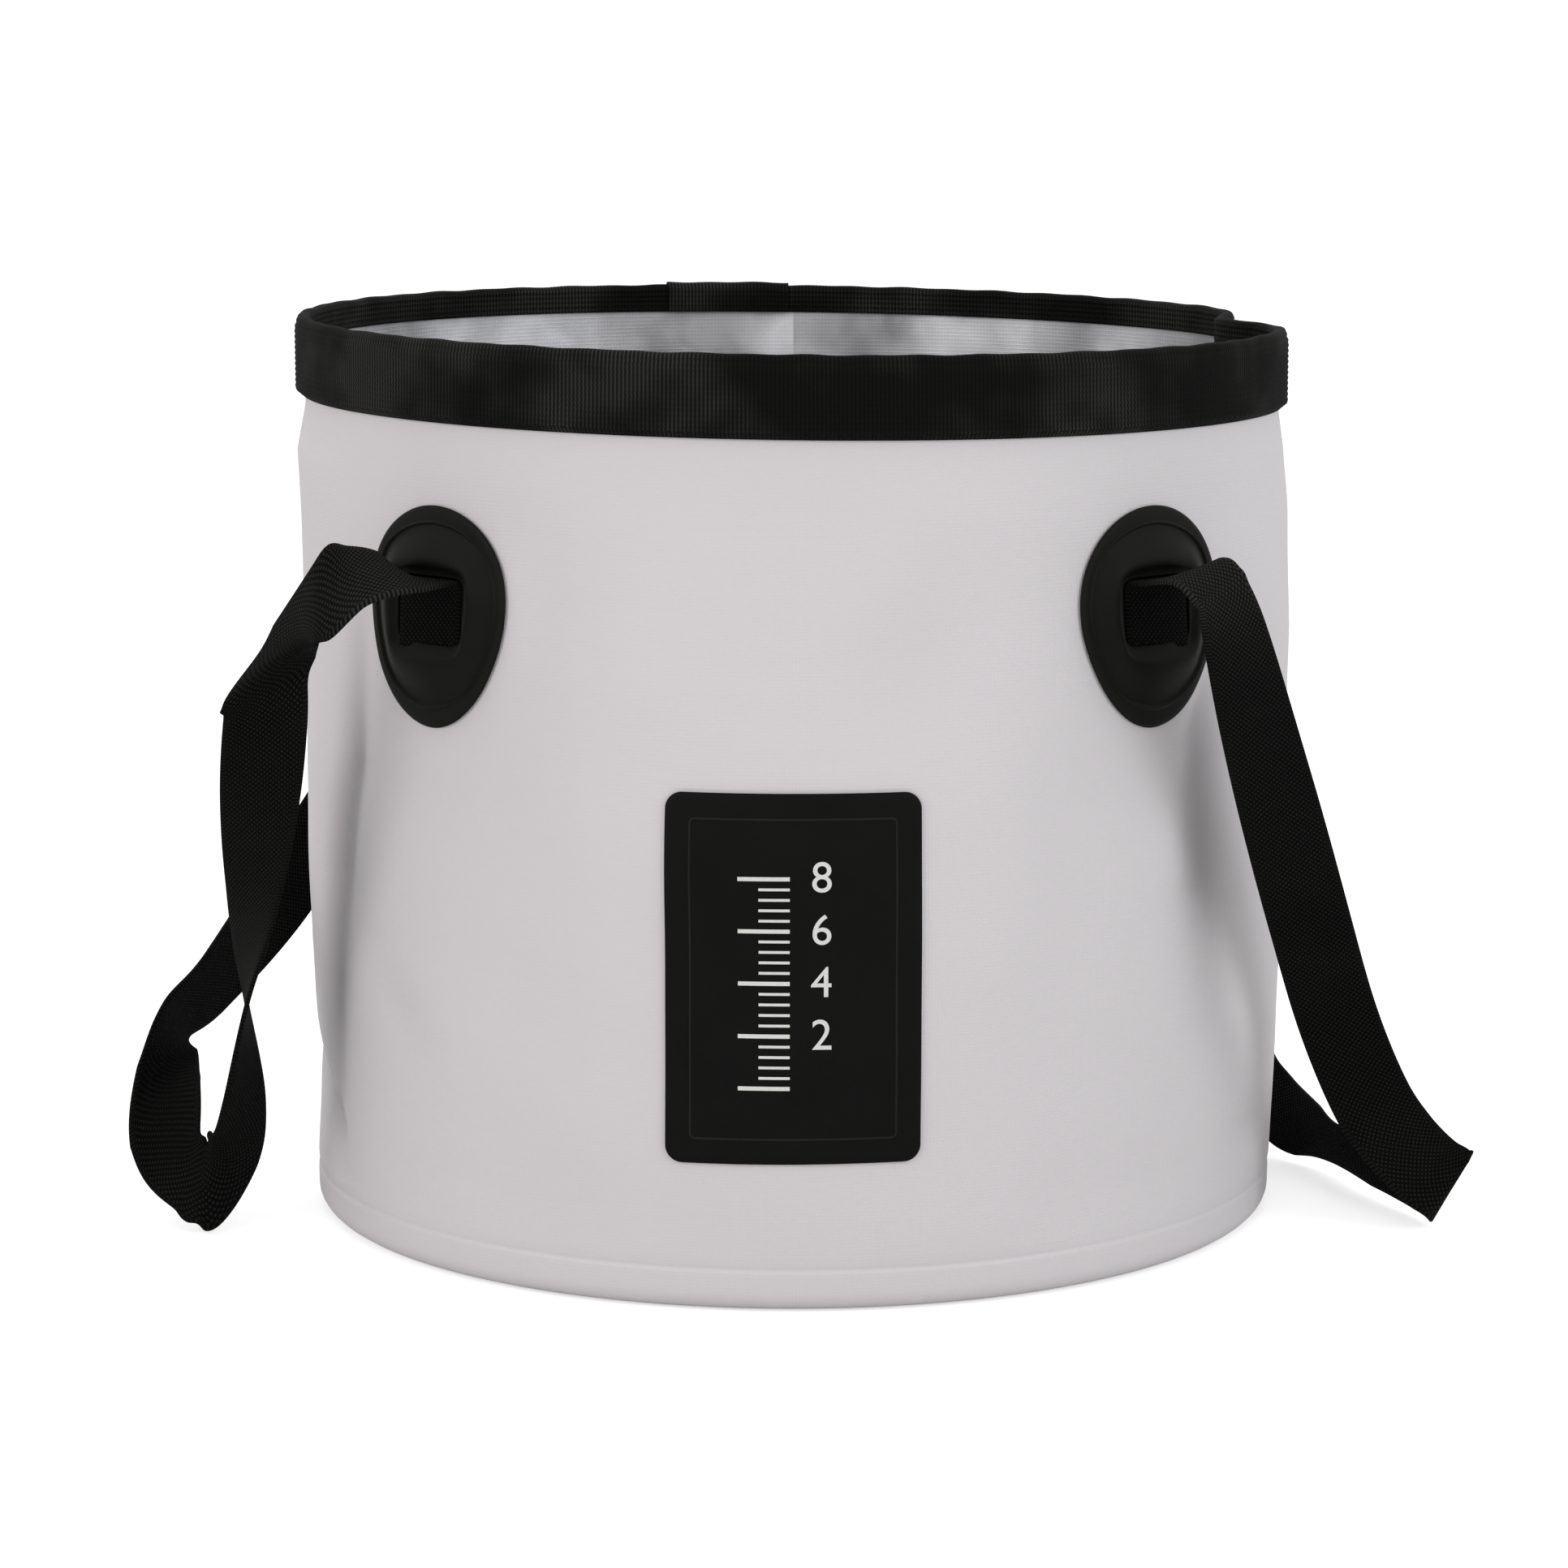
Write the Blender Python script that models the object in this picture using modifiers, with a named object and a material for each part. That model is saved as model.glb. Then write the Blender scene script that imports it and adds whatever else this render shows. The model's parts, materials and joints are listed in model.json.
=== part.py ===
"""Collapsible camp bucket: a welded fabric wall on a round floor panel, a folded webbing hem at
the rim, four moulded strap patches and two webbing carrying loops. Metres, +Z up, front at -Y.
The origin is on the ground, on the bucket's axis."""

import math

import bmesh
import bpy
import numpy as np
from mathutils import Matrix, Vector

# Overall sizes
BODY_RADIUS = 0.152
BUCKET_HEIGHT = 0.280
RIM_HALF_WIDTH = 0.1555
RIM_HALF_DEPTH = 0.142
RIM_TILT = 0.0018
# The rim is pressed in behind its right end, where neither stiffener reaches: the share of the
# radius that it gives way, then the azimuth and the width in degrees
PINCH_SHARE = 0.10
PINCH_AZIMUTH = 98.0
PINCH_SPREAD = 9.0

# Clearances: between touching pieces, and between a piece and the wall's curved face
GAP = 0.0003
SEAT = 0.0005

# Wall fabric and floor
FABRIC = 0.0008
CORNER_RADIUS = 0.006
FLOOR_WELD = 0.012
FLOOR_FLANGE = 0.022
LAP_WIDTH = 0.025
LENS_START = 0.120
DENT_DEPTH = 0.0035

# Hem at the rim
BINDING = 0.0012
HEM_OUTSIDE = 0.0245
HEM_INSIDE = 0.009
HEM_ROUND = 0.001
HEM_LAP_START = -0.050
HEM_LAP_END = -0.002
STIFFENER = 0.001
STIFFENER_MARGIN = 0.002

# Label panel on the front
LABEL_WIDTH = 0.075
LABEL_HEIGHT = 0.1095
LABEL_RISE = 0.045
LABEL_CORNER = 0.005
LABEL_THICKNESS = 0.0008

# Moulded strap patches, centred at these azimuths from the front
PATCH_AZIMUTHS = {"front_left": -45.0, "front_right": 45.0, "back_left": -135.0, "back_right": 135.0}
PATCH_BELOW_RIM = 0.0805
PATCH_WIDTH = 0.055
PATCH_HEIGHT = 0.066
PATCH_WALL = 0.0012
PATCH_DOME = 0.0036
PATCH_RIDGE = 0.0006
PATCH_TAPER_SHARE = 0.10
WINDOW_HEIGHT = 0.0205
WINDOW_RISE = 0.0025

# Rings of a patch from the window's edge out to its outline: the dome stays level up to the second
# ring and ends at the fourth, and the ridge stands on the fifth
PATCH_RING_SHARES = (0.0, 0.20, 0.45, 0.70, 0.76, 0.82, 1.0)

# Webbing
STRAP_WIDTH = 0.025
STRAP_THICKNESS = 0.0015
STRAP_SIDE_CLEARANCE = 0.001
STRAP_ROOT = 0.008
TAIL_HOLD = 0.003
TAIL_BEND = 0.0025
PAD_MARGIN = 0.0005
FOLD_GAP = 0.0007

# Smoothness of the meshes, with angles in degrees
COLUMNS = 60
STIFFENER_COLUMNS = 26
WALL_LAP_COLUMNS = 4
WALL_LAP_ROWS = 7
HEM_LAP_COLUMNS = 6
HEM_FACES = 5
LABEL_ROWS = 3
LABEL_CORNER_TURNS = (50.0, 80.0)
PATCH_COLUMNS = 32
ANCHOR_COLUMNS = 6
ANCHOR_ROWS = 2
TAIL_TURNS = (30.0, 60.0, 90.0)
STRAP_END_COLUMNS = 1
LOOP_COLUMNS = 2
ROUTE_STEPS = 6
CORNER_TURN = 45.0
TANGENT_STEP = 0.5
SHARP_TURN = 40.0

# The least sine of the angle between the webbing's edge-to-edge direction and its length
SLANT_LIMIT_SHARE = 0.75

# Values worked out from the sizes above
MERGE_DISTANCE = GAP / 10
HEM_STACK = GAP + STIFFENER + GAP + BINDING
RIM_FABRIC_WIDTH = RIM_HALF_WIDTH - HEM_STACK
RIM_FABRIC_DEPTH = RIM_HALF_DEPTH - HEM_STACK
PATCH_CENTRE = BUCKET_HEIGHT - PATCH_BELOW_RIM
WINDOW_CENTRE = PATCH_CENTRE + WINDOW_RISE
WINDOW_HALF_WIDTH = STRAP_WIDTH / 2 + STRAP_SIDE_CLEARANCE
WINDOW_HALF_HEIGHT = WINDOW_HEIGHT / 2
STRAP_EXIT = WINDOW_CENTRE + WINDOW_HALF_HEIGHT - SEAT - STRAP_THICKNESS / 2
PAD_FACE = SEAT + FABRIC
TAIL_OFFSET = PAD_FACE + GAP + STRAP_THICKNESS / 2

# Soft dents below the front patches: azimuth at the top and at the foot, then the width, in degrees
DENTS = ((-59.0, -71.0, 6.0), (50.0, 72.0, 7.0))
DENT_TOP = 0.165
DENT_FOOT = 0.035
DENT_FADE = 0.035

# A strap's route from the front patch to the back patch. Each row holds the azimuth in degrees,
# the stand-off from the bare wall as a share of the strap's width, the height as a share of the
# strap's exit height, and the direction across the strap as shares outwards, around and upwards.
LEFT_ROUTE_SHARES = (
    (-43, 0.92, 1.020, 0.30, 0.89, -0.34),
    (-44, 1.43, 1.018, 0.39, 0.71, -0.59),
    (-45, 1.79, 0.994, 0.36, 0.49, -0.79),
    (-49, 1.79, 0.922, 0.12, 0.98, 0.16),
    (-52, 1.80, 0.864, -0.68, 0.53, 0.51),
    (-54, 1.67, 0.789, -0.80, 0.58, 0.19),
    (-62, 1.29, 0.545, -0.24, 0.96, 0.14),
    (-68, 1.15, 0.363, 0.23, 0.95, 0.21),
    (-70, 1.15, 0.202, 0.70, 0.71, 0.09),
    (-71, 1.25, 0.125, 0.64, 0.55, 0.54),
    (-72, 1.58, 0.074, -0.09, 0.03, 1.00),
    (-75, 1.89, 0.108, -0.54, 0.15, 0.83),
    (-78, 1.97, 0.172, -0.72, -0.44, 0.54),
    (-86, 1.71, 0.273, -0.21, -0.86, -0.47),
    (-92, 1.35, 0.314, -0.19, -0.60, -0.78),
    (-107, 0.78, 0.440, -0.39, -0.30, -0.87),
    (-120, 0.50, 0.620, -0.15, -0.78, -0.62),
    (-129, 0.95, 0.800, 0.00, -0.95, -0.30),
    (-134, 1.53, 0.910, 0.00, -0.98, -0.20),
    (-136, 1.77, 0.980, 0.00, -1.00, 0.00),
    (-136, 1.54, 1.030, 0.00, -1.00, 0.00),
    (-136, 1.03, 1.030, 0.00, -1.00, 0.00),
)
RIGHT_ROUTE_SHARES = (
    (43, 0.99, 1.022, 0.16, -0.97, -0.17),
    (43, 1.29, 1.006, 0.16, -0.93, -0.33),
    (44, 1.38, 0.961, 0.02, -1.00, -0.06),
    (51, 1.11, 0.763, -0.41, -0.91, 0.02),
    (62, 1.01, 0.489, -0.87, -0.47, -0.12),
    (68, 1.14, 0.330, -0.92, -0.37, -0.12),
    (71, 1.41, 0.211, -0.91, -0.32, -0.27),
    (72, 1.76, 0.146, -0.85, -0.44, -0.27),
    (73, 2.15, 0.097, -0.64, -0.48, -0.59),
    (75, 2.38, 0.066, -0.44, 0.25, -0.86),
    (84, 1.40, 0.073, -0.28, 0.67, -0.68),
    (93, 0.84, 0.060, -0.03, 0.76, -0.65),
    (103, 0.49, 0.082, -0.21, 0.05, -0.98),
    (110, 0.42, 0.170, -0.10, 0.45, -0.90),
    (116, 0.40, 0.340, 0.00, 0.80, -0.60),
    (124, 0.48, 0.580, 0.00, 0.92, -0.40),
    (131, 0.83, 0.800, 0.00, 0.95, -0.30),
    (135, 1.23, 0.910, 0.00, 0.98, -0.20),
    (136, 1.41, 0.970, 0.00, 1.00, 0.00),
    (136, 1.29, 1.020, 0.00, 1.00, 0.00),
    (136, 0.93, 1.028, 0.00, 1.00, 0.00),
)
# The rows of each route, counted from 1, at which the loop's front and back folds lie
LEFT_FOLD_ROWS = (3, 20)
RIGHT_FOLD_ROWS = (3, 19)


def smooth(value):
    """A rise from 0 to 1 with level ends."""
    value = min(max(value, 0.0), 1.0)
    return value * value * (3.0 - 2.0 * value)


def around(azimuth):
    """The unit vectors outwards and around at an azimuth in degrees from the front."""
    angle = math.radians(azimuth)
    outwards = Vector((math.sin(angle), -math.cos(angle), 0.0))
    return outwards, Vector((math.cos(angle), math.sin(angle), 0.0))


def rim_top(azimuth):
    """The height of the hem's top edge, which dips towards the right."""
    return BUCKET_HEIGHT - RIM_TILT * math.sin(math.radians(azimuth))


def lens_radius(outwards, height, pinch_share):
    """The wall's radius: a circle below, and above an oval that gives way by a share of its size."""
    lens = smooth((height - LENS_START) / (BUCKET_HEIGHT - LENS_START))
    oval = 1.0 / math.hypot(outwards.x / RIM_FABRIC_WIDTH, outwards.y / RIM_FABRIC_DEPTH)
    return BODY_RADIUS + (oval * (1.0 - pinch_share) - BODY_RADIUS) * lens


def plan(azimuth, height):
    """The wall's outer face in plan, pinched at its right end and dented below the front patches."""
    outwards, _ = around(azimuth)
    pinch_share = PINCH_SHARE * math.exp(-(((azimuth - PINCH_AZIMUTH) / PINCH_SPREAD) ** 2))
    radius = lens_radius(outwards, height, pinch_share)
    rise = smooth((height - DENT_FOOT) / DENT_FADE) * smooth((DENT_TOP - height) / DENT_FADE)
    for top, foot, width in DENTS:
        centre = foot + (top - foot) * smooth((height - DENT_FOOT) / (DENT_TOP - DENT_FOOT))
        radius -= DENT_DEPTH * rise * math.exp(-(((azimuth - centre) / width) ** 2))
    return outwards * radius


def wall_ways(azimuth, height):
    """The unit vectors square to the wall and around it at a place."""
    chord = plan(azimuth + TANGENT_STEP, height) - plan(azimuth - TANGENT_STEP, height)
    sideways = chord.normalized()
    return Vector((sideways.y, -sideways.x, 0.0)), sideways


def wall_point(azimuth, height, offset):
    """A point at a distance outside the wall's outer face."""
    out_way, _ = wall_ways(azimuth, height)
    return plan(azimuth, height) + out_way * offset + Vector((0.0, 0.0, height))


def arc_degrees(length):
    """The azimuth that a length around the wall takes up."""
    return math.degrees(length / BODY_RADIUS)


def linear(channel):
    """A display colour channel, 0 to 255, as the linear value that a shader takes."""
    share = channel / 255.0
    return share / 12.92 if share <= 0.04045 else ((share + 0.055) / 1.055) ** 2.4


def material(name, colour, roughness, metallic=0.0):
    made = bpy.data.materials.get(name) or bpy.data.materials.new(name)
    made.use_nodes = True
    shader = made.node_tree.nodes["Principled BSDF"]
    shader.inputs["Base Color"].default_value = (*[linear(channel) for channel in colour], 1.0)
    shader.inputs["Roughness"].default_value = roughness
    shader.inputs["Metallic"].default_value = metallic
    return made


def wall_fabric():
    return material("wall_fabric", (206, 203, 204), 0.55)


def floor_fabric():
    return material("floor_fabric", (152, 152, 155), 0.6)


def hem_webbing():
    return material("hem_webbing", (26, 26, 25), 0.8)


def strap_webbing():
    return material("strap_webbing", (22, 22, 21), 0.75)


def moulded_rubber():
    return material("moulded_rubber", (28, 28, 27), 0.45)


def stiff_plastic():
    return material("stiff_plastic", (60, 60, 62), 0.5)


def clear_scene():
    for item in list(bpy.data.objects):
        bpy.data.objects.remove(item, do_unlink=True)


def part_collection():
    made = bpy.data.collections.get("camp_bucket") or bpy.data.collections.new("camp_bucket")
    if made.name not in bpy.context.scene.collection.children:
        bpy.context.scene.collection.children.link(made)
    return made


def finish(name, mesh, finish_material):
    """An object in the part's collection, shaded smooth between its edges."""
    mesh.materials.append(finish_material)
    mesh.shade_smooth()
    mesh.set_sharp_from_angle(angle=math.radians(SHARP_TURN))
    made = bpy.data.objects.new(name, mesh)
    part_collection().objects.link(made)
    return made


def sheet(name, across, along, place, thickness, finish_material, closed=False, side=-1.0):
    """A flat grid wrapped by place(u, v), with u and v from 0 to 1, and given a thickness. Its
    front faces where u turned into v points; side -1 thickens it behind that face."""
    shape = bmesh.new()
    bmesh.ops.create_grid(shape, x_segments=across, y_segments=along, size=1.0)
    for vertex in shape.verts:
        vertex.co = place((vertex.co.x + 1.0) / 2.0, (vertex.co.y + 1.0) / 2.0)
    if closed:
        bmesh.ops.remove_doubles(shape, verts=shape.verts, dist=MERGE_DISTANCE)
    mesh = bpy.data.meshes.new(name)
    shape.to_mesh(mesh)
    shape.free()
    made = finish(name, mesh, finish_material)
    shell = made.modifiers.new("thickness", "SOLIDIFY")
    shell.thickness = thickness
    shell.offset = side
    shell.use_even_offset = True
    return made


def pick(stops, share):
    """The value of a list of stops at a share of its length, straight between the stops."""
    last = len(stops) - 1
    place = share * last
    low = min(int(place), last - 1)
    first, second = stops[low], stops[low + 1]
    if isinstance(first, tuple):
        return tuple(a + (b - a) * (place - low) for a, b in zip(first, second))
    return first + (second - first) * (place - low)


def full_turn(share):
    """Azimuth from the seam at the back, once around."""
    return -180.0 + 360.0 * share


def make_wall():
    """The wall sheet, whose foot turns under the floor as a flat flange."""
    fold = CORNER_RADIUS * math.sin(math.radians(CORNER_TURN))
    stops = [
        (-CORNER_RADIUS - FLOOR_FLANGE, 0.0),
        (-CORNER_RADIUS, 0.0),
        (fold - CORNER_RADIUS, CORNER_RADIUS - fold),
        (0.0, CORNER_RADIUS),
    ]
    top_room = BINDING + GAP
    row_shares = (0.125, 0.30, 0.52, 0.76, 0.91, 1.0)
    total = len(stops) + len(row_shares)

    def place(u, v):
        azimuth = full_turn(u)
        row = round(v * (total - 1))
        if row < len(stops):
            inset, height = stops[row]
            return wall_point(azimuth, height, inset)
        height = (rim_top(azimuth) - top_room) * row_shares[row - len(stops)]
        return wall_point(azimuth, height, 0.0)

    return sheet("wall_panel", COLUMNS, total - 1, place, FABRIC, wall_fabric(), closed=True)


def make_wall_lap():
    """The overlapping end of the wall sheet, a strip up the back."""
    half = arc_degrees(LAP_WIDTH / 2)

    def place(u, v):
        azimuth = 180.0 + half * (2.0 * u - 1.0)
        top = rim_top(azimuth) - HEM_OUTSIDE - SEAT
        height = CORNER_RADIUS + (top - CORNER_RADIUS) * v
        return wall_point(azimuth, height, SEAT + FABRIC)

    return sheet("wall_lap", WALL_LAP_COLUMNS, WALL_LAP_ROWS, place, FABRIC, wall_fabric())


def make_floor():
    """The floor panel: a turned disc with its edge turned up and welded inside the wall."""
    base = FABRIC + GAP
    edge = BODY_RADIUS - FABRIC - GAP
    bend = CORNER_RADIUS - base
    fold = bend * math.sin(math.radians(CORNER_TURN))
    profile = [
        (edge, FLOOR_WELD),
        (edge, base + bend),
        (edge - bend + fold, base + bend - fold),
        (edge - bend, base),
        (0.0, base),
    ]
    shape = bmesh.new()
    points = [shape.verts.new((radius, 0.0, height)) for radius, height in profile]
    for first, second in zip(points, points[1:]):
        shape.edges.new((first, second))
    mesh = bpy.data.meshes.new("floor_panel")
    shape.to_mesh(mesh)
    shape.free()
    made = finish("floor_panel", mesh, floor_fabric())
    turn = made.modifiers.new("turn", "SCREW")
    turn.steps = COLUMNS
    turn.render_steps = COLUMNS
    turn.use_merge_vertices = True
    turn.merge_threshold = MERGE_DISTANCE
    shell = made.modifiers.new("thickness", "SOLIDIFY")
    shell.thickness = FABRIC
    shell.offset = -1.0
    shell.use_even_offset = True
    return made


def hem_place(azimuth, share, outer, inner, cover):
    """A point on a folded hem: up the outside, over the top and down the inside. The faces lie
    at outer and inner from the wall's outer face, and cover is how far the top is raised."""
    top = rim_top(azimuth) + cover
    stops = [
        (outer, top - cover - HEM_OUTSIDE),
        (outer, top - HEM_ROUND),
        (outer - HEM_ROUND, top),
        (inner + HEM_ROUND, top),
        (inner, top - HEM_ROUND),
        (inner, top - cover - HEM_INSIDE),
    ]
    offset, height = pick(stops, share)
    return wall_point(azimuth, height, offset)


def make_binding():
    """The webbing folded over the rim."""
    inner = -(FABRIC + GAP + BINDING)

    def place(u, v):
        return hem_place(full_turn(u), v, HEM_STACK, inner, 0.0)

    return sheet("rim_binding", COLUMNS, HEM_FACES, place, BINDING, hem_webbing(), closed=True)


def make_binding_lap():
    """The binding's overlapping end at the back, a second layer over the first."""
    start = 180.0 - arc_degrees(HEM_LAP_END)
    end = 180.0 - arc_degrees(HEM_LAP_START)
    layer = GAP + BINDING
    inner = -(FABRIC + GAP + BINDING) - layer

    def place(u, v):
        azimuth = start + (end - start) * u
        return hem_place(azimuth, v, HEM_STACK + layer, inner, layer)

    return sheet("rim_binding_lap", HEM_LAP_COLUMNS, HEM_FACES, place, BINDING, hem_webbing())


def make_stiffener(name, centre):
    """A springy strip inside the hem that holds half of the rim in its bow. Its columns are the
    wall's, so that it lies parallel to the hem all along."""
    column = full_turn(1.0 / COLUMNS) - full_turn(0.0)

    def place(u, v):
        azimuth = centre + column * STIFFENER_COLUMNS * (u - 0.5)
        low = rim_top(azimuth) - HEM_OUTSIDE + STIFFENER_MARGIN
        high = rim_top(azimuth) - BINDING - STIFFENER_MARGIN
        return wall_point(azimuth, low + (high - low) * v, GAP + STIFFENER)

    return sheet(name, STIFFENER_COLUMNS, 1, place, STIFFENER, stiff_plastic())


def make_label():
    """The rectangular panel on the front, with rounded corners."""
    half_width = LABEL_WIDTH / 2
    half_height = LABEL_HEIGHT / 2
    straight = half_width - LABEL_CORNER
    corner = [straight + LABEL_CORNER * math.sin(math.radians(turn)) for turn in LABEL_CORNER_TURNS]
    right = [0.0, straight / 2, straight, *corner, half_width]
    columns = [-value for value in reversed(right[1:])] + right

    def place(u, v):
        side = pick(columns, u)
        past = max(abs(side) - straight, 0.0)
        room = math.sqrt(max(LABEL_CORNER**2 - past**2, 0.0))
        reach = half_height - LABEL_CORNER + room
        height = LABEL_RISE + half_height + reach * (2.0 * v - 1.0)
        return wall_point(arc_degrees(side), height, SEAT + LABEL_THICKNESS)

    across = len(columns) - 1
    return sheet("label_panel", across, LABEL_ROWS, place, LABEL_THICKNESS, moulded_rubber())


def make_patch(corner, azimuth):
    """An egg-shaped moulded patch, domed around a square window for the strap."""
    rings = len(PATCH_RING_SHARES) - 1
    brow, foot, ridge = PATCH_RING_SHARES[1], PATCH_RING_SHARES[3], PATCH_RING_SHARES[4]

    def place(u, v):
        angle = -2.0 * math.pi * u
        share = PATCH_RING_SHARES[round(v * rings)]
        cosine, sine = math.cos(angle), math.sin(angle)
        square = max(abs(cosine), abs(sine))
        window = (WINDOW_HALF_WIDTH * cosine / square, WINDOW_HALF_HEIGHT * sine / square)
        taper = 1.0 + PATCH_TAPER_SHARE * sine
        outline = (PATCH_WIDTH / 2 * cosine * taper, PATCH_HEIGHT / 2 * sine)
        side = window[0] + (outline[0] - window[0]) * share
        rise = window[1] + WINDOW_RISE * (1.0 - share) + (outline[1] - window[1]) * share
        offset = SEAT + PATCH_WALL + PATCH_DOME * smooth((foot - share) / (foot - brow))
        if share == ridge:
            offset += PATCH_RIDGE
        return wall_point(azimuth + arc_degrees(side), PATCH_CENTRE + rise, offset)

    name = "patch_" + corner
    return sheet(name, PATCH_COLUMNS, rings, place, PATCH_WALL, moulded_rubber(), closed=True)


def make_pad(corner, azimuth):
    """The fabric pad behind the window that the strap's end is sewn to."""
    half = WINDOW_HALF_WIDTH - PAD_MARGIN
    low = WINDOW_CENTRE - WINDOW_HALF_HEIGHT - TAIL_HOLD
    high = WINDOW_CENTRE + WINDOW_HALF_HEIGHT

    def place(u, v):
        side = arc_degrees(half * (2.0 * u - 1.0))
        return wall_point(azimuth + side, low + (high - low) * v, PAD_FACE)

    name = "anchor_pad_" + corner
    return sheet(name, ANCHOR_COLUMNS, ANCHOR_ROWS, place, FABRIC, wall_fabric())


def route_point(row):
    """A row of a route as a place and a direction across the strap."""
    azimuth, out_share, up_share, outwards, sideways, upwards = row
    out_way, around_way = around(azimuth)
    height = up_share * STRAP_EXIT
    centre = out_way * (lens_radius(out_way, height, 0.0) + out_share * STRAP_WIDTH)
    centre.z = height
    across = out_way * outwards + around_way * sideways + Vector((0.0, 0.0, upwards))
    return centre, across.normalized()


def tail_points(azimuth, side):
    """The strap's sewn end behind the window, its bend out through the window's top, and the
    root where it has left the window."""
    out_way, around_way = wall_ways(azimuth, STRAP_EXIT)
    low = WINDOW_CENTRE - WINDOW_HALF_HEIGHT - TAIL_HOLD
    high = STRAP_EXIT - TAIL_BEND
    heights = (low, (low + high) / 2, high)
    points = [wall_point(azimuth, height, TAIL_OFFSET) for height in heights]
    bend_foot = points[-1]
    for angle in TAIL_TURNS:
        turn = math.radians(angle)
        bend = out_way * (1.0 - math.cos(turn)) + Vector((0.0, 0.0, math.sin(turn)))
        points.append(bend_foot + bend * TAIL_BEND)
    points.append(wall_point(azimuth, STRAP_EXIT, STRAP_ROOT))
    return [(point, around_way * side) for point in points]


def spline(first, second, third, fourth, share):
    """A point on the smooth curve between the second and third of four places."""
    square, cube = share * share, share * share * share
    return 0.5 * (
        2.0 * second
        + (third - first) * share
        + (2.0 * first - 5.0 * second + 4.0 * third - fourth) * square
        + (3.0 * second - first - 3.0 * third + fourth) * cube
    )


class Strap:
    """One length of webbing, from its sewn front end to its sewn back end."""

    def __init__(self, side, rows, fold_rows):
        turn = 1.0 if side == "left" else -1.0
        front = tail_points(PATCH_AZIMUTHS["front_" + side], turn)
        back = tail_points(PATCH_AZIMUTHS["back_" + side], -turn)
        places = [*front[-2:], *[route_point(row) for row in rows], *reversed(back[-2:])]
        points = front[:-1]
        marks = []
        for four in zip(places, places[1:], places[2:], places[3:]):
            marks.append(len(points))
            for step in range(ROUTE_STEPS):
                share = step / ROUTE_STEPS
                centre = spline(*[place[0] for place in four], share)
                across = spline(*[place[1] for place in four], share)
                points.append((centre, across))
        points += reversed(back)
        self.centres = np.array([point[0] for point in points])
        self.across = np.array([point[1] for point in points])
        self.across /= np.linalg.norm(self.across, axis=1)[:, None]
        tangents = np.gradient(self.centres, axis=0)
        tangents /= np.linalg.norm(tangents, axis=1)[:, None]
        slant = np.linalg.norm(np.cross(self.across, tangents), axis=1)
        slant = np.maximum(slant, SLANT_LIMIT_SHARE)
        self.reach = self.across * (STRAP_WIDTH / 2 / slant)[:, None]
        steps = np.linalg.norm(np.diff(self.centres, axis=0), axis=1)
        self.lengths = np.concatenate([[0.0], np.cumsum(steps)])
        self.folds = [self.lengths[marks[row]] for row in fold_rows]
        self.hinge = (self.at(self.folds[0])[0] + self.at(self.folds[1])[0]) / 2

    def at(self, length):
        centre = [np.interp(length, self.lengths, self.centres[:, axis]) for axis in range(3)]
        reach = [np.interp(length, self.lengths, self.reach[:, axis]) for axis in range(3)]
        return Vector(centre), Vector(reach)

    def piece(self, name, start, end, columns):
        """The webbing from one length along the strap to another."""
        inside = self.lengths[(self.lengths > start + GAP) & (self.lengths < end - GAP)]
        stations = [start, *inside, end]

        def place(u, v):
            centre, reach = self.at(stations[round(v * (len(stations) - 1))])
            return centre + reach * (2.0 * u - 1.0)

        along = len(stations) - 1
        return sheet(name, columns, along, place, STRAP_THICKNESS, strap_webbing(), side=0.0)

    def make(self, side):
        """The sewn front end, the carrying loop and the sewn back end."""
        front, back = self.folds
        end = self.lengths[-1]
        half_gap = FOLD_GAP / 2
        front_name = "strap_end_front_" + side
        back_name = "strap_end_back_" + side
        front_end = self.piece(front_name, 0.0, front - half_gap, STRAP_END_COLUMNS)
        back_end = self.piece(back_name, back + half_gap, end, STRAP_END_COLUMNS)
        loop = self.piece(side + "_handle_loop", front + half_gap, back - half_gap, LOOP_COLUMNS)
        return front_end, loop, back_end


def mover(name, place, parts):
    """An empty on a joint's axis that carries the parts that move with it."""
    made = bpy.data.objects.new(name, None)
    made.location = place
    made.empty_display_size = STRAP_WIDTH
    part_collection().objects.link(made)
    for item in parts:
        item.parent = made
        item.matrix_parent_inverse = Matrix.Translation(-Vector(place))
    return made


def main():
    clear_scene()
    make_wall()
    make_wall_lap()
    make_floor()
    make_label()
    rim = [make_binding(), make_binding_lap()]
    rim.append(make_stiffener("rim_stiffener_front", 0.0))
    rim.append(make_stiffener("rim_stiffener_back", 180.0))
    mover("rim_slide", (0.0, 0.0, BUCKET_HEIGHT), rim)
    mounts = []
    for corner, azimuth in PATCH_AZIMUTHS.items():
        mounts += [make_patch(corner, azimuth), make_pad(corner, azimuth)]
    left = Strap("left", LEFT_ROUTE_SHARES, LEFT_FOLD_ROWS)
    right = Strap("right", RIGHT_ROUTE_SHARES, RIGHT_FOLD_ROWS)
    for side, strap in (("left", left), ("right", right)):
        front_end, loop, back_end = strap.make(side)
        mounts += [front_end, back_end]
        mover(side + "_hinge", strap.hinge, [loop])
    mover("patch_slide", (0.0, 0.0, PATCH_CENTRE), mounts)


main()
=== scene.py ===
"""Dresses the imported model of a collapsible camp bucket: coated fabric, lining, ribbed hem, moulded
patches, label panel, webbing straps and stitches. Metres, +Z up, the front at -Y. Azimuths are in
degrees around the bucket, 0 at the front and 90 at the right."""

import json
import math

import bmesh
import bpy
import numpy as np
from mathutils import Matrix, Vector


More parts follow.
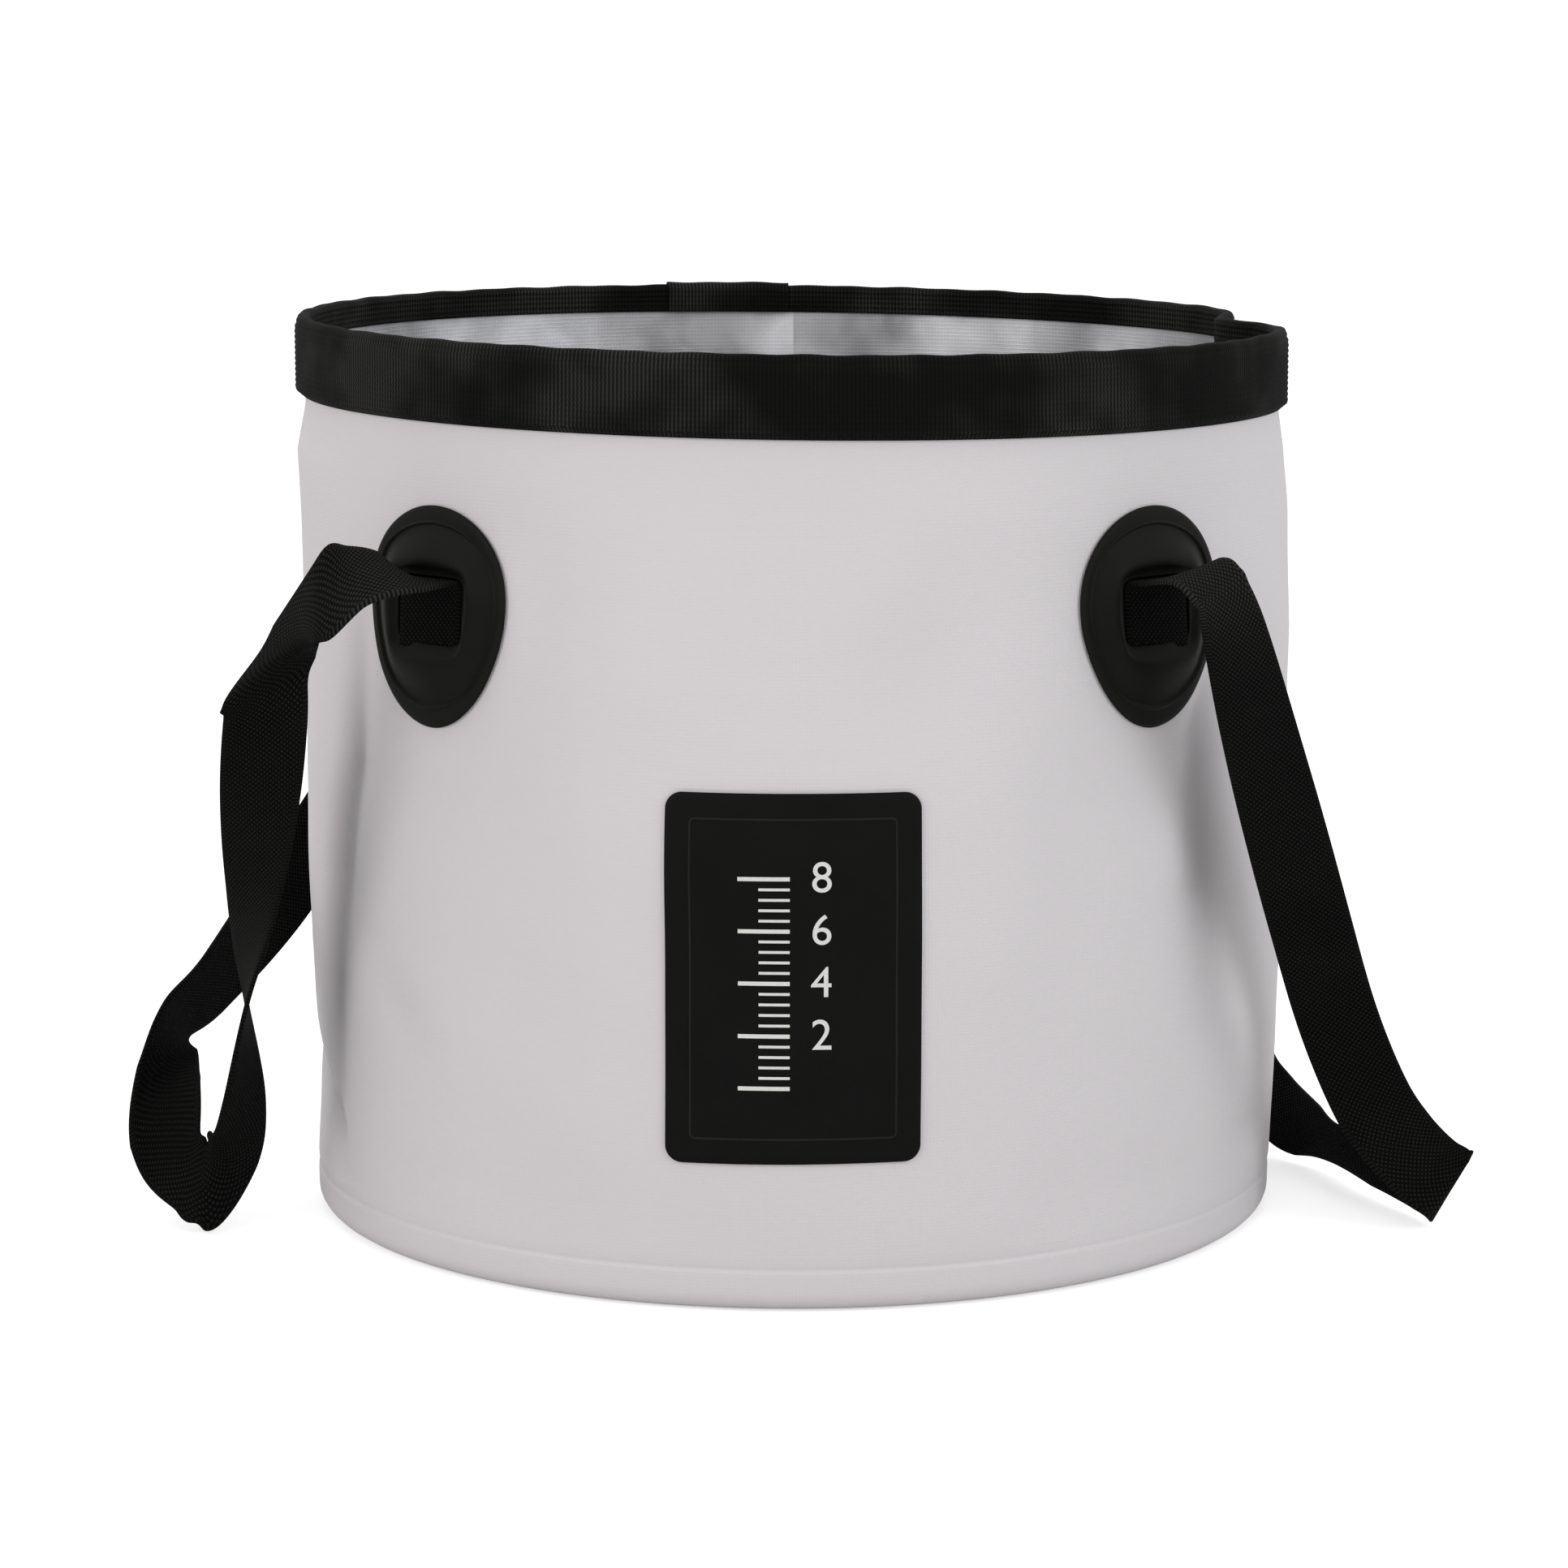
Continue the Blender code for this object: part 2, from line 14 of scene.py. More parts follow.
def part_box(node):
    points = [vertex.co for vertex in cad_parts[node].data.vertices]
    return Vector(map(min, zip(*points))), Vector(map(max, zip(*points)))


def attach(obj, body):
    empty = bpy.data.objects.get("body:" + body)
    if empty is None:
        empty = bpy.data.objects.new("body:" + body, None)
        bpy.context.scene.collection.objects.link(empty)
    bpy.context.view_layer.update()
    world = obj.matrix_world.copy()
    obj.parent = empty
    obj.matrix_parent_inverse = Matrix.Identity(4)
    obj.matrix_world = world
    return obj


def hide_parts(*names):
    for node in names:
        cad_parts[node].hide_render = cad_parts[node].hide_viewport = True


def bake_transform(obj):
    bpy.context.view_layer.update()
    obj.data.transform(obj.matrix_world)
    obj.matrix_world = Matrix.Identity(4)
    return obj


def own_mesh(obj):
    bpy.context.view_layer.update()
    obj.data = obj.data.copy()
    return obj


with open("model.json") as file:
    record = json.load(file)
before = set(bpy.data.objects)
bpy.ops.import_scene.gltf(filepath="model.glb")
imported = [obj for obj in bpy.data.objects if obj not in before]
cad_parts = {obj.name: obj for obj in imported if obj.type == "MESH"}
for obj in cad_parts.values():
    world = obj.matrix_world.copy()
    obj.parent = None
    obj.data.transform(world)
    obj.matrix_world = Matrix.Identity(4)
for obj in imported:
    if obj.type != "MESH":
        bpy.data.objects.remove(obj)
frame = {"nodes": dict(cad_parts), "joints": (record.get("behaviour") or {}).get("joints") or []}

bl_info = {
    "name": "Collapsible Camp Bucket",
    "version": (1, 0, 0),
    "blender": (4, 5, 0),
    "location": "3D View > Sidebar > Camp Bucket",
    "description": "Makes the fabric, hem, patches, label, straps and stitches of a camp bucket",
    "category": "Object",
}

# The names of the four corners, and the azimuth of the patch at each
CORNERS = {"front_left": -45.0, "front_right": 45.0, "back_left": -135.0, "back_right": 135.0}

# Clearances between touching pieces, and between a piece and the wall's curved face
GAP = 0.0003
SEAT = 0.0005

# Shape of the wall: it turns from a circle into an oval from this height up, and is pressed in
# behind the rim's right end
LENS_START = 0.120
PINCH_SHARE = 0.10
PINCH_AZIMUTH = 98.0
PINCH_SPREAD = 9.0

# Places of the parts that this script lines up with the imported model
CORNER_RADIUS = 0.006
FLOOR_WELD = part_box("floor_panel")[1].z
FLOOR_FLANGE = 0.022
PATCH_CENTRE = 0.1995
PATCH_LEAN = 0.0012
WINDOW_CENTRE = 0.202
WINDOW_HALF_HEIGHT = 0.01025
WINDOW_SIDE_ROOM = 0.001
LABEL_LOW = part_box("label_panel")[0].z
LABEL_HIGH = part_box("label_panel")[1].z
LABEL_MIDDLE = (LABEL_LOW + LABEL_HIGH) / 2
LABEL_HALF_HEIGHT = (LABEL_HIGH - LABEL_LOW) / 2
HEM_LAP_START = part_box("rim_binding_lap")[0].x
HEM_LAP_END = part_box("rim_binding_lap")[1].x
WALL_LAP_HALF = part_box("wall_lap")[1].x
HINGES = {joint["child"]: joint for joint in frame["joints"] if joint["type"] == "hinge"}

# Creases in the wall, each from its foot up: height, azimuth of the valley, depth, and the widths
# in degrees of its side towards smaller and its side towards larger azimuths
CREASES = (
    (
        (0.028, -70.0, 0.0000, 2.5, 6.0),
        (0.045, -72.0, 0.0025, 2.5, 6.5),
        (0.072, -71.5, 0.0038, 2.4, 6.5),
        (0.115, -68.5, 0.0054, 2.2, 6.0),
        (0.150, -63.5, 0.0051, 2.0, 4.2),
        (0.175, -61.5, 0.0027, 2.2, 3.6),
        (0.215, -60.0, 0.0000, 3.0, 4.0),
    ),
    (
        (0.022, 71.0, 0.0000, 7.0, 5.0),
        (0.033, 70.0, 0.0016, 8.0, 5.0),
        (0.072, 60.0, 0.0024, 7.0, 5.0),
        (0.115, 57.0, 0.0050, 6.5, 4.0),
        (0.154, 56.2, 0.0048, 4.2, 3.2),
        (0.178, 54.5, 0.0030, 3.6, 3.6),
        (0.215, 58.0, 0.0000, 5.0, 4.0),
    ),
    ((0.016, -66.0, 0.0, 5.0, 4.0), (0.034, -70.0, 0.0020, 5.0, 3.0), (0.046, -79.0, 0.0026, 6.0, 4.0),
     (0.060, -90.0, 0.0, 8.0, 6.0)),
    ((0.060, -47.0, 0.0, 4.0, 4.0), (0.080, -52.0, 0.0010, 4.0, 5.0), (0.110, -58.0, 0.0, 4.0, 5.0)),
    ((0.140, -30.0, 0.0, 6.0, 9.0), (0.205, -28.0, 0.0007, 6.0, 8.0), (0.250, -36.0, 0.0, 6.0, 8.0)),
    ((0.150, 4.0, 0.0, 8.0, 8.0), (0.200, 14.0, 0.0006, 8.0, 8.0), (0.245, 22.0, 0.0, 8.0, 8.0)),
    ((0.040, 163.0, 0.0, 7.0, 4.0), (0.110, 156.0, 0.0034, 7.0, 3.0), (0.205, 149.0, 0.0, 7.0, 4.0)),
    ((0.040, -163.0, 0.0, 4.0, 7.0), (0.120, -156.0, 0.0030, 3.0, 7.0), (0.200, -150.0, 0.0, 4.0, 7.0)),
    ((0.050, -114.0, 0.0, 6.0, 6.0), (0.130, -118.0, 0.0036, 7.0, 3.0), (0.200, -122.0, 0.0, 5.0, 4.0)),
    ((0.050, 116.0, 0.0, 6.0, 6.0), (0.120, 119.0, 0.0036, 3.0, 7.0), (0.200, 122.0, 0.0, 4.0, 5.0)),
    ((0.100, -92.0, 0.0, 8.0, 8.0), (0.180, -97.0, 0.0016, 8.0, 8.0), (0.240, -99.0, 0.0, 8.0, 8.0)),
    ((0.060, 92.0, 0.0, 8.0, 8.0), (0.140, 97.0, 0.0016, 8.0, 8.0), (0.210, 104.0, 0.0, 8.0, 8.0)),
)

# Broad swells of the wall at its left and right, each from its foot up: height and swell
LEFT_SWELL = ((0.015, 0.0), (0.050, -0.0008), (0.085, 0.0012), (0.155, 0.0020), (0.205, 0.0016),
              (0.240, 0.0028), (0.254, 0.0))
RIGHT_SWELL = ((0.010, 0.0), (0.033, 0.0012), (0.087, 0.0030), (0.185, 0.0046), (0.222, 0.0034),
               (0.242, 0.0020), (0.254, 0.0))
SWELL_SPREAD = 26.0

# The slack under each patch, which lets the wall fold in behind it: height and depth, the shift
# of its middle away from the sides, and its spread in degrees
SLACK = ((0.012, 0.0), (0.030, 0.0020), (0.075, 0.0023), (0.098, 0.0030), (0.146, 0.0030),
         (0.160, 0.0019), (0.172, 0.0008), (0.185, 0.0))
SLACK_SHIFT = 3.0
SLACK_SPREAD = 14.5

# Slow waves in the fabric: turns around the bucket, climb in radians over a rise, phase and half
# height. They come in over a calm stretch at the foot and go out over another below their top.
WAVES = (
    (3, 5.0, 0.4, 0.00030),
    (5, -9.0, 1.9, 0.00022),
    (7, 14.0, 3.1, 0.00016),
    (11, -6.0, 5.0, 0.00012),
)
WAVE_RISE = 0.1
WAVE_CALM = 0.03
WAVE_TOP = 0.254

# How far around a patch the fabric stays smooth and over how much it gives way, as shares of the
# patch's half size, and the depth at which a crease gets its full painted shade
CALM_REACH_SHARE = 1.45
CALM_FADE_SHARE = 0.6
FULL_SHADE_DEPTH = 0.005

# The floor's weld: where the wall's close rows of mesh begin and end, the groove's depth, height
# over the floor's edge and spread, and the ledge above the groove, with the heights over which
# it comes and goes. The wall's even rows start at the side's foot.
WELD_FOOT = 0.0080
WELD_TOP = 0.0170
GROOVE_DEPTH = 0.00035
GROOVE_RISE = 0.0007
GROOVE_SPREAD = 0.0008
LEDGE_DEPTH = 0.00022
LEDGE_START = 0.001
LEDGE_TOP = 0.0168
LEDGE_END = 0.003
SIDE_FOOT = 0.019

# A strap's route from the front patch to the back patch. Each row holds the azimuth in degrees,
# the stand-off from the bare wall as a share of the strap's width, the height as a share of the
# strap's exit height, and the direction across the strap as shares outwards, around and upwards.
LEFT_ROUTE_SHARES = (
    (-43, 0.92, 1.020, 0.30, 0.89, -0.34),
    (-44, 1.43, 1.018, 0.39, 0.71, -0.59),
    (-45, 1.83, 0.988, 0.36, 0.49, -0.79),
    (-49, 1.79, 0.922, 0.12, 0.98, 0.16),
    (-52, 1.80, 0.864, -0.68, 0.53, 0.51),
    (-54, 1.67, 0.789, -0.80, 0.58, 0.19),
    (-62, 1.29, 0.545, -0.24, 0.96, 0.14),
    (-68, 1.15, 0.363, 0.23, 0.95, 0.21),
    (-70, 1.15, 0.202, 0.70, 0.71, 0.09),
    (-71, 1.25, 0.125, 0.64, 0.55, 0.54),
    (-72, 1.58, 0.074, -0.09, 0.03, 1.00),
    (-73.5, 1.76, 0.086, -0.33, 0.09, 0.95),
    (-75, 1.89, 0.108, -0.54, 0.15, 0.83),
    (-78, 1.97, 0.172, -0.72, -0.44, 0.54),
    (-82, 1.90, 0.222, -0.52, -0.68, 0.02),
    (-86, 1.80, 0.270, -0.25, -0.80, -0.48),
    (-92, 1.35, 0.314, -0.19, -0.60, -0.78),
    (-107, 0.78, 0.440, -0.39, -0.30, -0.87),
    (-120, 0.50, 0.620, -0.15, -0.78, -0.62),
    (-129, 0.95, 0.800, 0.00, -0.95, -0.30),
    (-134, 1.53, 0.910, 0.00, -0.98, -0.20),
    (-136, 1.77, 0.980, 0.00, -1.00, 0.00),
    (-136, 1.54, 1.030, 0.00, -1.00, 0.00),
    (-136, 1.03, 1.030, 0.00, -1.00, 0.00),
)
RIGHT_ROUTE_SHARES = (
    (43, 0.99, 1.022, 0.16, -0.97, -0.17),
    (43, 1.29, 1.006, 0.16, -0.93, -0.33),
    (44, 1.38, 0.961, 0.02, -1.00, -0.06),
    (51, 1.11, 0.763, -0.41, -0.91, 0.02),
    (62, 1.01, 0.489, -0.87, -0.47, -0.12),
    (68, 1.14, 0.330, -0.92, -0.37, -0.12),
    (71, 1.45, 0.211, -0.91, -0.32, -0.27),
    (72, 1.78, 0.146, -0.77, -0.44, -0.42),
    (73, 2.15, 0.097, -0.64, -0.48, -0.59),
    (75, 2.38, 0.066, -0.44, 0.25, -0.86),
    (84, 1.40, 0.073, -0.28, 0.67, -0.68),
    (93, 0.84, 0.061, -0.03, 0.84, -0.54),
    (103, 0.49, 0.080, -0.21, 0.45, -0.87),
    (110, 0.42, 0.140, -0.10, 0.45, -0.90),
    (116, 0.40, 0.340, 0.00, 0.80, -0.60),
    (124, 0.48, 0.580, 0.00, 0.92, -0.40),
    (131, 0.83, 0.800, 0.00, 0.95, -0.30),
    (135, 1.23, 0.910, 0.00, 0.98, -0.20),
    (136, 1.41, 0.970, 0.00, 1.00, 0.00),
    (136, 1.29, 1.020, 0.00, 1.00, 0.00),
    (136, 0.93, 1.028, 0.00, 1.00, 0.00),
)
STRAP_ROOT = 0.008
TAIL_HOLD = 0.003
TAIL_BEND = 0.0025
SLANT_LIMIT_SHARE = 0.75

# The stretch of a strap that gets a painted highlight, where its top catches the light from above,
# measured from each sewn end
HIGHLIGHT_PLACE = 0.048
HIGHLIGHT_SPREAD = 0.017

# Shape of the hem: rounding of its top edge, height over which its crown narrows and by how
# much, height over which its low edge is sewn down, the unevenness of its top, and the seam's
# height over the tape's low edge
HEM_ROUND = 0.001
HEM_CROWN = 0.0045
HEM_NARROWING = 0.0007
HEM_PRESSED = 0.002
HEM_BUMP = 0.00012
HEM_SEAM = 0.0018

# The waves that make the hem's top uneven, as turns around, phase and share, and the ribs inside
HEM_WAVES = ((53.0, 0.0, 1.0), (31.0, 1.0, 0.8))
INNER_RIBS = 5

# The label panel's soft edge, the edge's and the back's share of its thickness, and its raised line
LABEL_SOFT_EDGE = 0.0012
LABEL_EDGE_SHARE = 0.55
LABEL_BACK_SHARE = 0.5
LINE_CORNER = 0.0015
LINE_HALF_WIDTH = 0.00035
LINE_RISE = 0.00028

# The print: a scale of ticks around the label's middle, each as length and height, with a long
# tick and a number at even steps. The numbers count up by a step, and the numerals' height is a
# share of their size.
SCALE_FOOT = -0.032
SCALE_TOP = 0.030
SCALE_TICKS = 20
SCALE_NUMBERS = 4
NUMBER_STEP = 2
LONG_TICK = (0.015, 0.0012)
SHORT_TICK = (0.009, 0.0008)
TICK_EDGE = -0.001
NUMBER_EDGE = 0.005
NUMBER_HEIGHT = 0.0090
NUMERAL_SHARE = 0.7
PRINT_HALF_DEPTH = 0.00008

# The rings of a patch from its window out: share of the way to the outline, the level that the
# ring is measured from, and its height over that level. A funnel leads into the window, then
# come the dome, the ridge and the brim.
PATCH_RINGS = (
    (0.000, "wall", 0.0026),
    (0.000, "crown", -0.0018),
    (0.030, "crown", -0.0018),
    (0.075, "crown", -0.0016),
    (0.110, "crown", -0.0011),
    (0.145, "crown", -0.0004),
    (0.180, "crown", -0.0001),
    (0.230, "crown", 0.0),
    (0.300, "crown", -0.0003),
    (0.380, "crown", -0.0009),
    (0.460, "crown", -0.0016),
    (0.540, "brim", 0.0013),
    (0.620, "brim", 0.0006),
    (0.680, "brim", 0.0002),
    (0.722, "brim", 0.0),
    (0.740, "brim", 0.0004),
    (0.757, "brim", 0.0007),
    (0.774, "brim", 0.0004),
    (0.792, "brim", 0.0),
    (0.900, "brim", 0.0),
    (0.960, "brim", -0.0001),
    (0.990, "brim", -0.0004),
    (1.000, "brim", -0.0008),
)

# How square a patch's window is, how much its outline widens upwards, its skin's share of its
# wall, and the room beside the pad in the window
WINDOW_SQUARENESS = 7.0
PATCH_TAPER_SHARE = 0.10
PATCH_SKIN_SHARE = 0.45
PAD_SIDE_ROOM = 0.0005

# Stitches: the room beside a strap's rows, the rows' heights over the window's foot, and in
# degrees the ends of the hem's rows and the inset of the row on its lap
STITCH_SIDE_ROOM = 0.003
STITCH_RISES = (0.001, 0.009)
HEM_ROW_END = 179.0
LAP_ROW_INSET = 1.0

# Pitches of the threads that the finishes show, the width of the webbing's woven edge, and how
# sharply that edge starts, per metre
SCRIM_PITCH = 0.00105
LINING_PITCH = 0.00125
WEFT_PITCH = 0.0013
TWILL_PITCH = 0.0019
YARN_PITCH = 0.0016
RUNG_PITCH = 0.0012
WOVEN_EDGE = 0.0022
WOVEN_EDGE_SHARPNESS = 900.0

# The lamps: name, place, setting that holds the power, and colour. Then the camera's film, the
# studio floor's half side, depth and glow, and the rays that see the surround at full strength.
LAMPS = (
    ("key_lamp", (-1.7, -1.5, 1.1), "key_power", (1.0, 0.95, 0.94)),
    ("fill_lamp", (1.7, -1.5, 1.0), "fill_power", (0.94, 0.965, 1.0)),
    ("top_lamp", (0.0, 0.3, 1.9), "top_power", (1.0, 1.0, 1.0)),
)
FILM_WIDTH = 36.0
STUDIO_FLOOR_REACH = 30.0
STUDIO_FLOOR_DEPTH = 0.0004
STUDIO_FLOOR_GLOW = 0.56
SEEING_RAYS = ("Is Camera Ray", "Is Glossy Ray", "Is Transmission Ray")
WHITE = (1.0, 1.0, 1.0, 1.0)
BLACK = (0.0, 0.0, 0.0, 1.0)

# Smoothness of the meshes
WALL_COLUMNS = 360
WALL_ROWS = 104
WALL_CORNER_ROWS = 8
WELD_ROWS = 19
LAP_COLUMNS = 24
LAP_ROWS = 90
FLOOR_COLUMNS = 240
FLOOR_RINGS = 39
FLOOR_CORNER_RINGS = 7
HEM_COLUMNS = 360
HEM_LAP_COLUMNS = 40
HEM_TURN_STEPS = 8
RIB_STEPS = 4
LABEL_ROWS = 97
LABEL_HALF_COLUMNS = 28
LABEL_CORNER_COLUMNS = 9
LINE_STEPS = 160
LINE_CORNER_STEPS = 6
LINE_SIDES = 8
NUMERAL_STEPS = 6
TICK_CUTS = 5
PATCH_COLUMNS = 128
PAD_STATIONS = 17
TAIL_STATIONS = 7
TAIL_BEND_STEPS = 6
STRAP_STEPS = 18
STRAP_COLUMNS = 10
STRAP_EDGE_COLUMNS = 3
STITCH_SEGMENTS = 6
STITCH_RINGS = 5
HEM_ROW_POINTS = 720
SHORT_ROW_POINTS = 20
LAP_ROW_POINTS = 40
TANGENT_STEP = 0.5
SHARP_TURN = 38.0

# The closest that points of a closed surface, of the print and of a cut strap may lie
MERGE = GAP / 30
PRINT_MERGE = 1e-6
CUT_MERGE = 1e-7

# Names of the meshes' UV map and attributes
CHART = "fabric"
# This attribute holds how much painted shade darkens the wall's colour in its creases
CREASE_SHADE = "grime"
# This attribute holds the painted highlight on each strap's top stretch
STRAP_HIGHLIGHT = "wear"


def display(red, green, blue):
    """A colour given as it shows on a screen, 0 to 255, in the linear values a shader takes."""
    shares = [channel / 255.0 for channel in (red, green, blue)]
    return [share / 12.92 if share <= 0.04045 else ((share + 0.055) / 1.055) ** 2.4 for share in shares]


def setting(name, description, default, **limits):
    """A number that the sidebar shows."""
    return bpy.props.FloatProperty(name=name, description=description, default=default, **limits)


def span(name, description, default):
    """A length that the sidebar shows."""
    return setting(name, description, default, min=0.0, unit="LENGTH", precision=4)


def tint(name, description, default):
    """A colour that the sidebar shows."""
    return bpy.props.FloatVectorProperty(
        name=name, description=description, default=default, size=3, min=0.0, max=1.0, subtype="COLOR"
    )


class BucketSizes(bpy.types.PropertyGroup):
    """Sizes of the bucket's pieces"""

    body_radius: span("Body radius", "Outer radius of the wall near the floor", 0.152)
    height: span("Height", "Height of the hem's top edge", 0.280)
    rim_half_width: span("Rim half width", "Half of the rim from left to right", 0.1555)
    rim_half_depth: span("Rim half depth", "Half of the rim from front to back", 0.142)
    rim_tilt: span("Rim tilt", "How far the rim dips towards the right", 0.0018)
    fabric: span("Fabric", "Thickness of the coated fabric", 0.0008)
    binding: span("Binding", "Room that the hem's tape takes at the rim", 0.0012)
    tape: span("Tape", "Thickness of the hem's tape", 0.0006)
    stiffener: span("Stiffener", "Thickness of the strips inside the hem", 0.001)
    hem_outside: span("Hem outside", "Height of the hem on the outside", 0.0245)
    hem_inside: span("Hem inside", "Height of the hem on the inside", 0.009)
    rib_pitch: span("Rib pitch", "Distance between the hem's ribs", 0.00175)
    rib_height: span("Rib height", "How far the hem's ribs stand out", 0.00030)
    label_width: span("Label width", "Width of the label panel around the wall", 0.075)
    label_thickness: span("Label thickness", "Thickness of the label panel", 0.0008)
    label_corner: span("Label corner", "Corner radius of the label panel", 0.005)
    label_frame: span("Label frame", "Inset of the raised line on the label panel", 0.0075)
    patch_width: span("Patch width", "Width of a moulded patch", 0.055)
    patch_height: span("Patch height", "Height of a moulded patch", 0.066)
    patch_wall: span("Patch wall", "Thickness of a moulded patch", 0.0012)
    patch_dome: span("Patch dome", "How far a patch's dome stands up", 0.0036)
    strap_width: span("Strap width", "Width of the webbing straps", 0.025)
    strap_thickness: span("Strap thickness", "Thickness of the webbing straps", 0.0015)
    stitch_pitch: span("Stitch pitch", "Distance from one stitch to the next", 0.0032)
    stitch_length: span("Stitch length", "Length of a stitch that shows", 0.0024)
    thread: span("Thread", "Thickness of the sewing thread", 0.0005)


class BucketColours(bpy.types.PropertyGroup):
    """Colours of the bucket's finishes"""

    wall: tint("Wall", "Coated face of the fabric", display(217, 213, 215))
    lining: tint("Lining", "Inner face of the fabric", display(226, 226, 229))
    hem: tint("Hem", "Binding tape at the rim", display(17, 17, 16))
    strap: tint("Strap", "Webbing straps", display(10, 10, 9))
    rubber: tint("Rubber", "Moulded patches", display(22, 22, 20))
    label: tint("Label", "Label panel", display(14, 14, 13))
    # The raised line is coloured lighter than the panel, a painted highlight along it
    label_line: tint("Label line", "Raised line on the label panel, painted lighter as its highlight", display(34, 33, 31))
    ink: tint("Ink", "Print on the label panel", display(222, 222, 218))
    thread: tint("Thread", "Sewing thread", display(11, 11, 11))
    plastic: tint("Plastic", "Stiffening strips", display(60, 60, 62))
    floor: tint("Floor", "Studio floor", display(236, 236, 236))


class BucketStudio(bpy.types.PropertyGroup):
    """The camera and the lights"""

    camera_distance: span("Camera distance", "From the camera to the bucket's axis", 1.5945)
    camera_height: span("Camera height", "Height of the camera", 0.4032)
    camera_pitch: setting(
        "Camera pitch", "How far the camera looks down", math.radians(9.67), subtype="ANGLE"
    )
    camera_lens: setting("Lens", "Focal length in millimetres", 116.7, min=1.0)
    camera_shift: setting("Shift", "Sideways shift of the picture, as a share of its width", -0.0059)
    ambient: setting("Ambient", "Strength of the light from all around", 0.67, min=0.0)
    key_power: setting("Key power", "Power of the lamp at the front left, in watts", 11.5, min=0.0)
    fill_power: setting("Fill power", "Power of the lamp at the front right, in watts", 11.5, min=0.0)
    top_power: setting("Top power", "Power of the lamp overhead, in watts", 5.0, min=0.0)
    lamp_size: span("Lamp size", "Side of each square lamp", 1.2)


def sizes():
    return bpy.context.scene.bucket_sizes


def colours():
    return bpy.context.scene.bucket_colours


def studio():
    return bpy.context.scene.bucket_studio


class Signal:
    """A value in a tree of nodes. Arithmetic on it adds Math nodes."""

    def __init__(self, nodes, socket):
        self.nodes = nodes
        self.socket = socket

    def math(self, operation, *values):
        return self.nodes.node("ShaderNodeMath", {"operation": operation}, dict(enumerate(values)))

    def __add__(self, other):
        return self.math("ADD", self, other)

    __radd__ = __add__

    def __sub__(self, other):
        return self.math("SUBTRACT", self, other)

    def __rsub__(self, other):
        return self.math("SUBTRACT", other, self)

    def __mul__(self, other):
        return self.math("MULTIPLY", self, other)

    def __pow__(self, other):
        return self.math("POWER", self, other)

    def sine(self):
        return self.math("SINE", self)

    def size(self):
        return self.math("ABSOLUTE", self)

    def least(self, other):
        return self.math("MINIMUM", self, other)

    def most(self, other):
        return self.math("MAXIMUM", self, other)

    def clamped(self):
        return self.nodes.node("ShaderNodeClamp", {}, {"Value": self})

    def past(self, start, steepness):
        """0 up to a start, and from there a rise to 1."""
        return ((self - start) * steepness).clamped()

    def waves(self, pitch):
        """A swing between 0 and 1 over each pitch."""
        return (self * (2.0 * math.pi / pitch)).sine() * 0.5 + 0.5


class Nodes:
    """A tree of nodes in the making."""

    def __init__(self, tree):
        self.tree = tree

    def node(self, kind, settings, values, output=0):
        """Adds a node with its settings, then the values or links of its sockets."""
        made = self.tree.nodes.new(kind)
        for name, value in settings.items():
            setattr(made, name, value)
        for socket, value in values.items():
            self.feed(made.inputs[socket], value)
        return Signal(self, made.outputs[output]) if made.outputs else None

    def feed(self, socket, value):
        if isinstance(value, Signal):
            self.tree.links.new(value.socket, socket)
        else:
            socket.default_value = value


class Paint(Nodes):
    """A material in the making, around its Principled shader."""

    def __init__(self, name):
        self.material = bpy.data.materials.new(name)
        self.material.use_nodes = True
        super().__init__(self.material.node_tree)
        self.shader = self.tree.nodes["Principled BSDF"]

    def chart(self):
        """The place on the fabric in metres: across, up or along, and both as a vector."""
        both = self.node("ShaderNodeUVMap", {"uv_map": CHART}, {})
        across = self.node("ShaderNodeSeparateXYZ", {}, {"Vector": both}, 0)
        along = self.node("ShaderNodeSeparateXYZ", {}, {"Vector": both}, 1)
        return across, along, both

    def place(self):
        """The place on a rigid piece, in metres."""
        return self.node("ShaderNodeTexCoord", {}, {}, "Object")

    def attribute(self, name):
        """A value that the mesh holds at each of its points."""
        return self.node("ShaderNodeAttribute", {"attribute_name": name}, {}, "Fac")

    def noise(self, where, scale, detail=2.0, roughness=0.5, distortion=0.0):
        values = {
            "Vector": where,
            "Scale": scale,
            "Detail": detail,
            "Roughness": roughness,
            "Distortion": distortion,
        }
        return self.node("ShaderNodeTexNoise", {}, values, "Fac")

    def blend(self, share, first, second):
        """A colour between two, by a share that may change over the surface."""
        settings = {"data_type": "RGBA"}
        return self.node("ShaderNodeMix", settings, {0: share, 6: first, 7: second}, 2)

    def shades(self, share, colour, darkest, lightest):
        """A colour between its darkest and its lightest shade."""
        return self.blend(share, opaque(colour, darkest), opaque(colour, lightest))

    def bump(self, height, distance, strength=1.0, under=None):
        values = {"Height": height, "Distance": distance, "Strength": strength}
        if under is not None:
            values["Normal"] = under
        return self.node("ShaderNodeBump", {}, values)

    def finish(self, **values):
        """Sets the shader's sockets, named with _ for a space, and gives the material."""
        for name, value in values.items():
            self.feed(self.shader.inputs[name.replace("_", " ")], value)
        return self.material


def opaque(colour, share=1.0):
    return (*[channel * share for channel in colour], 1.0)


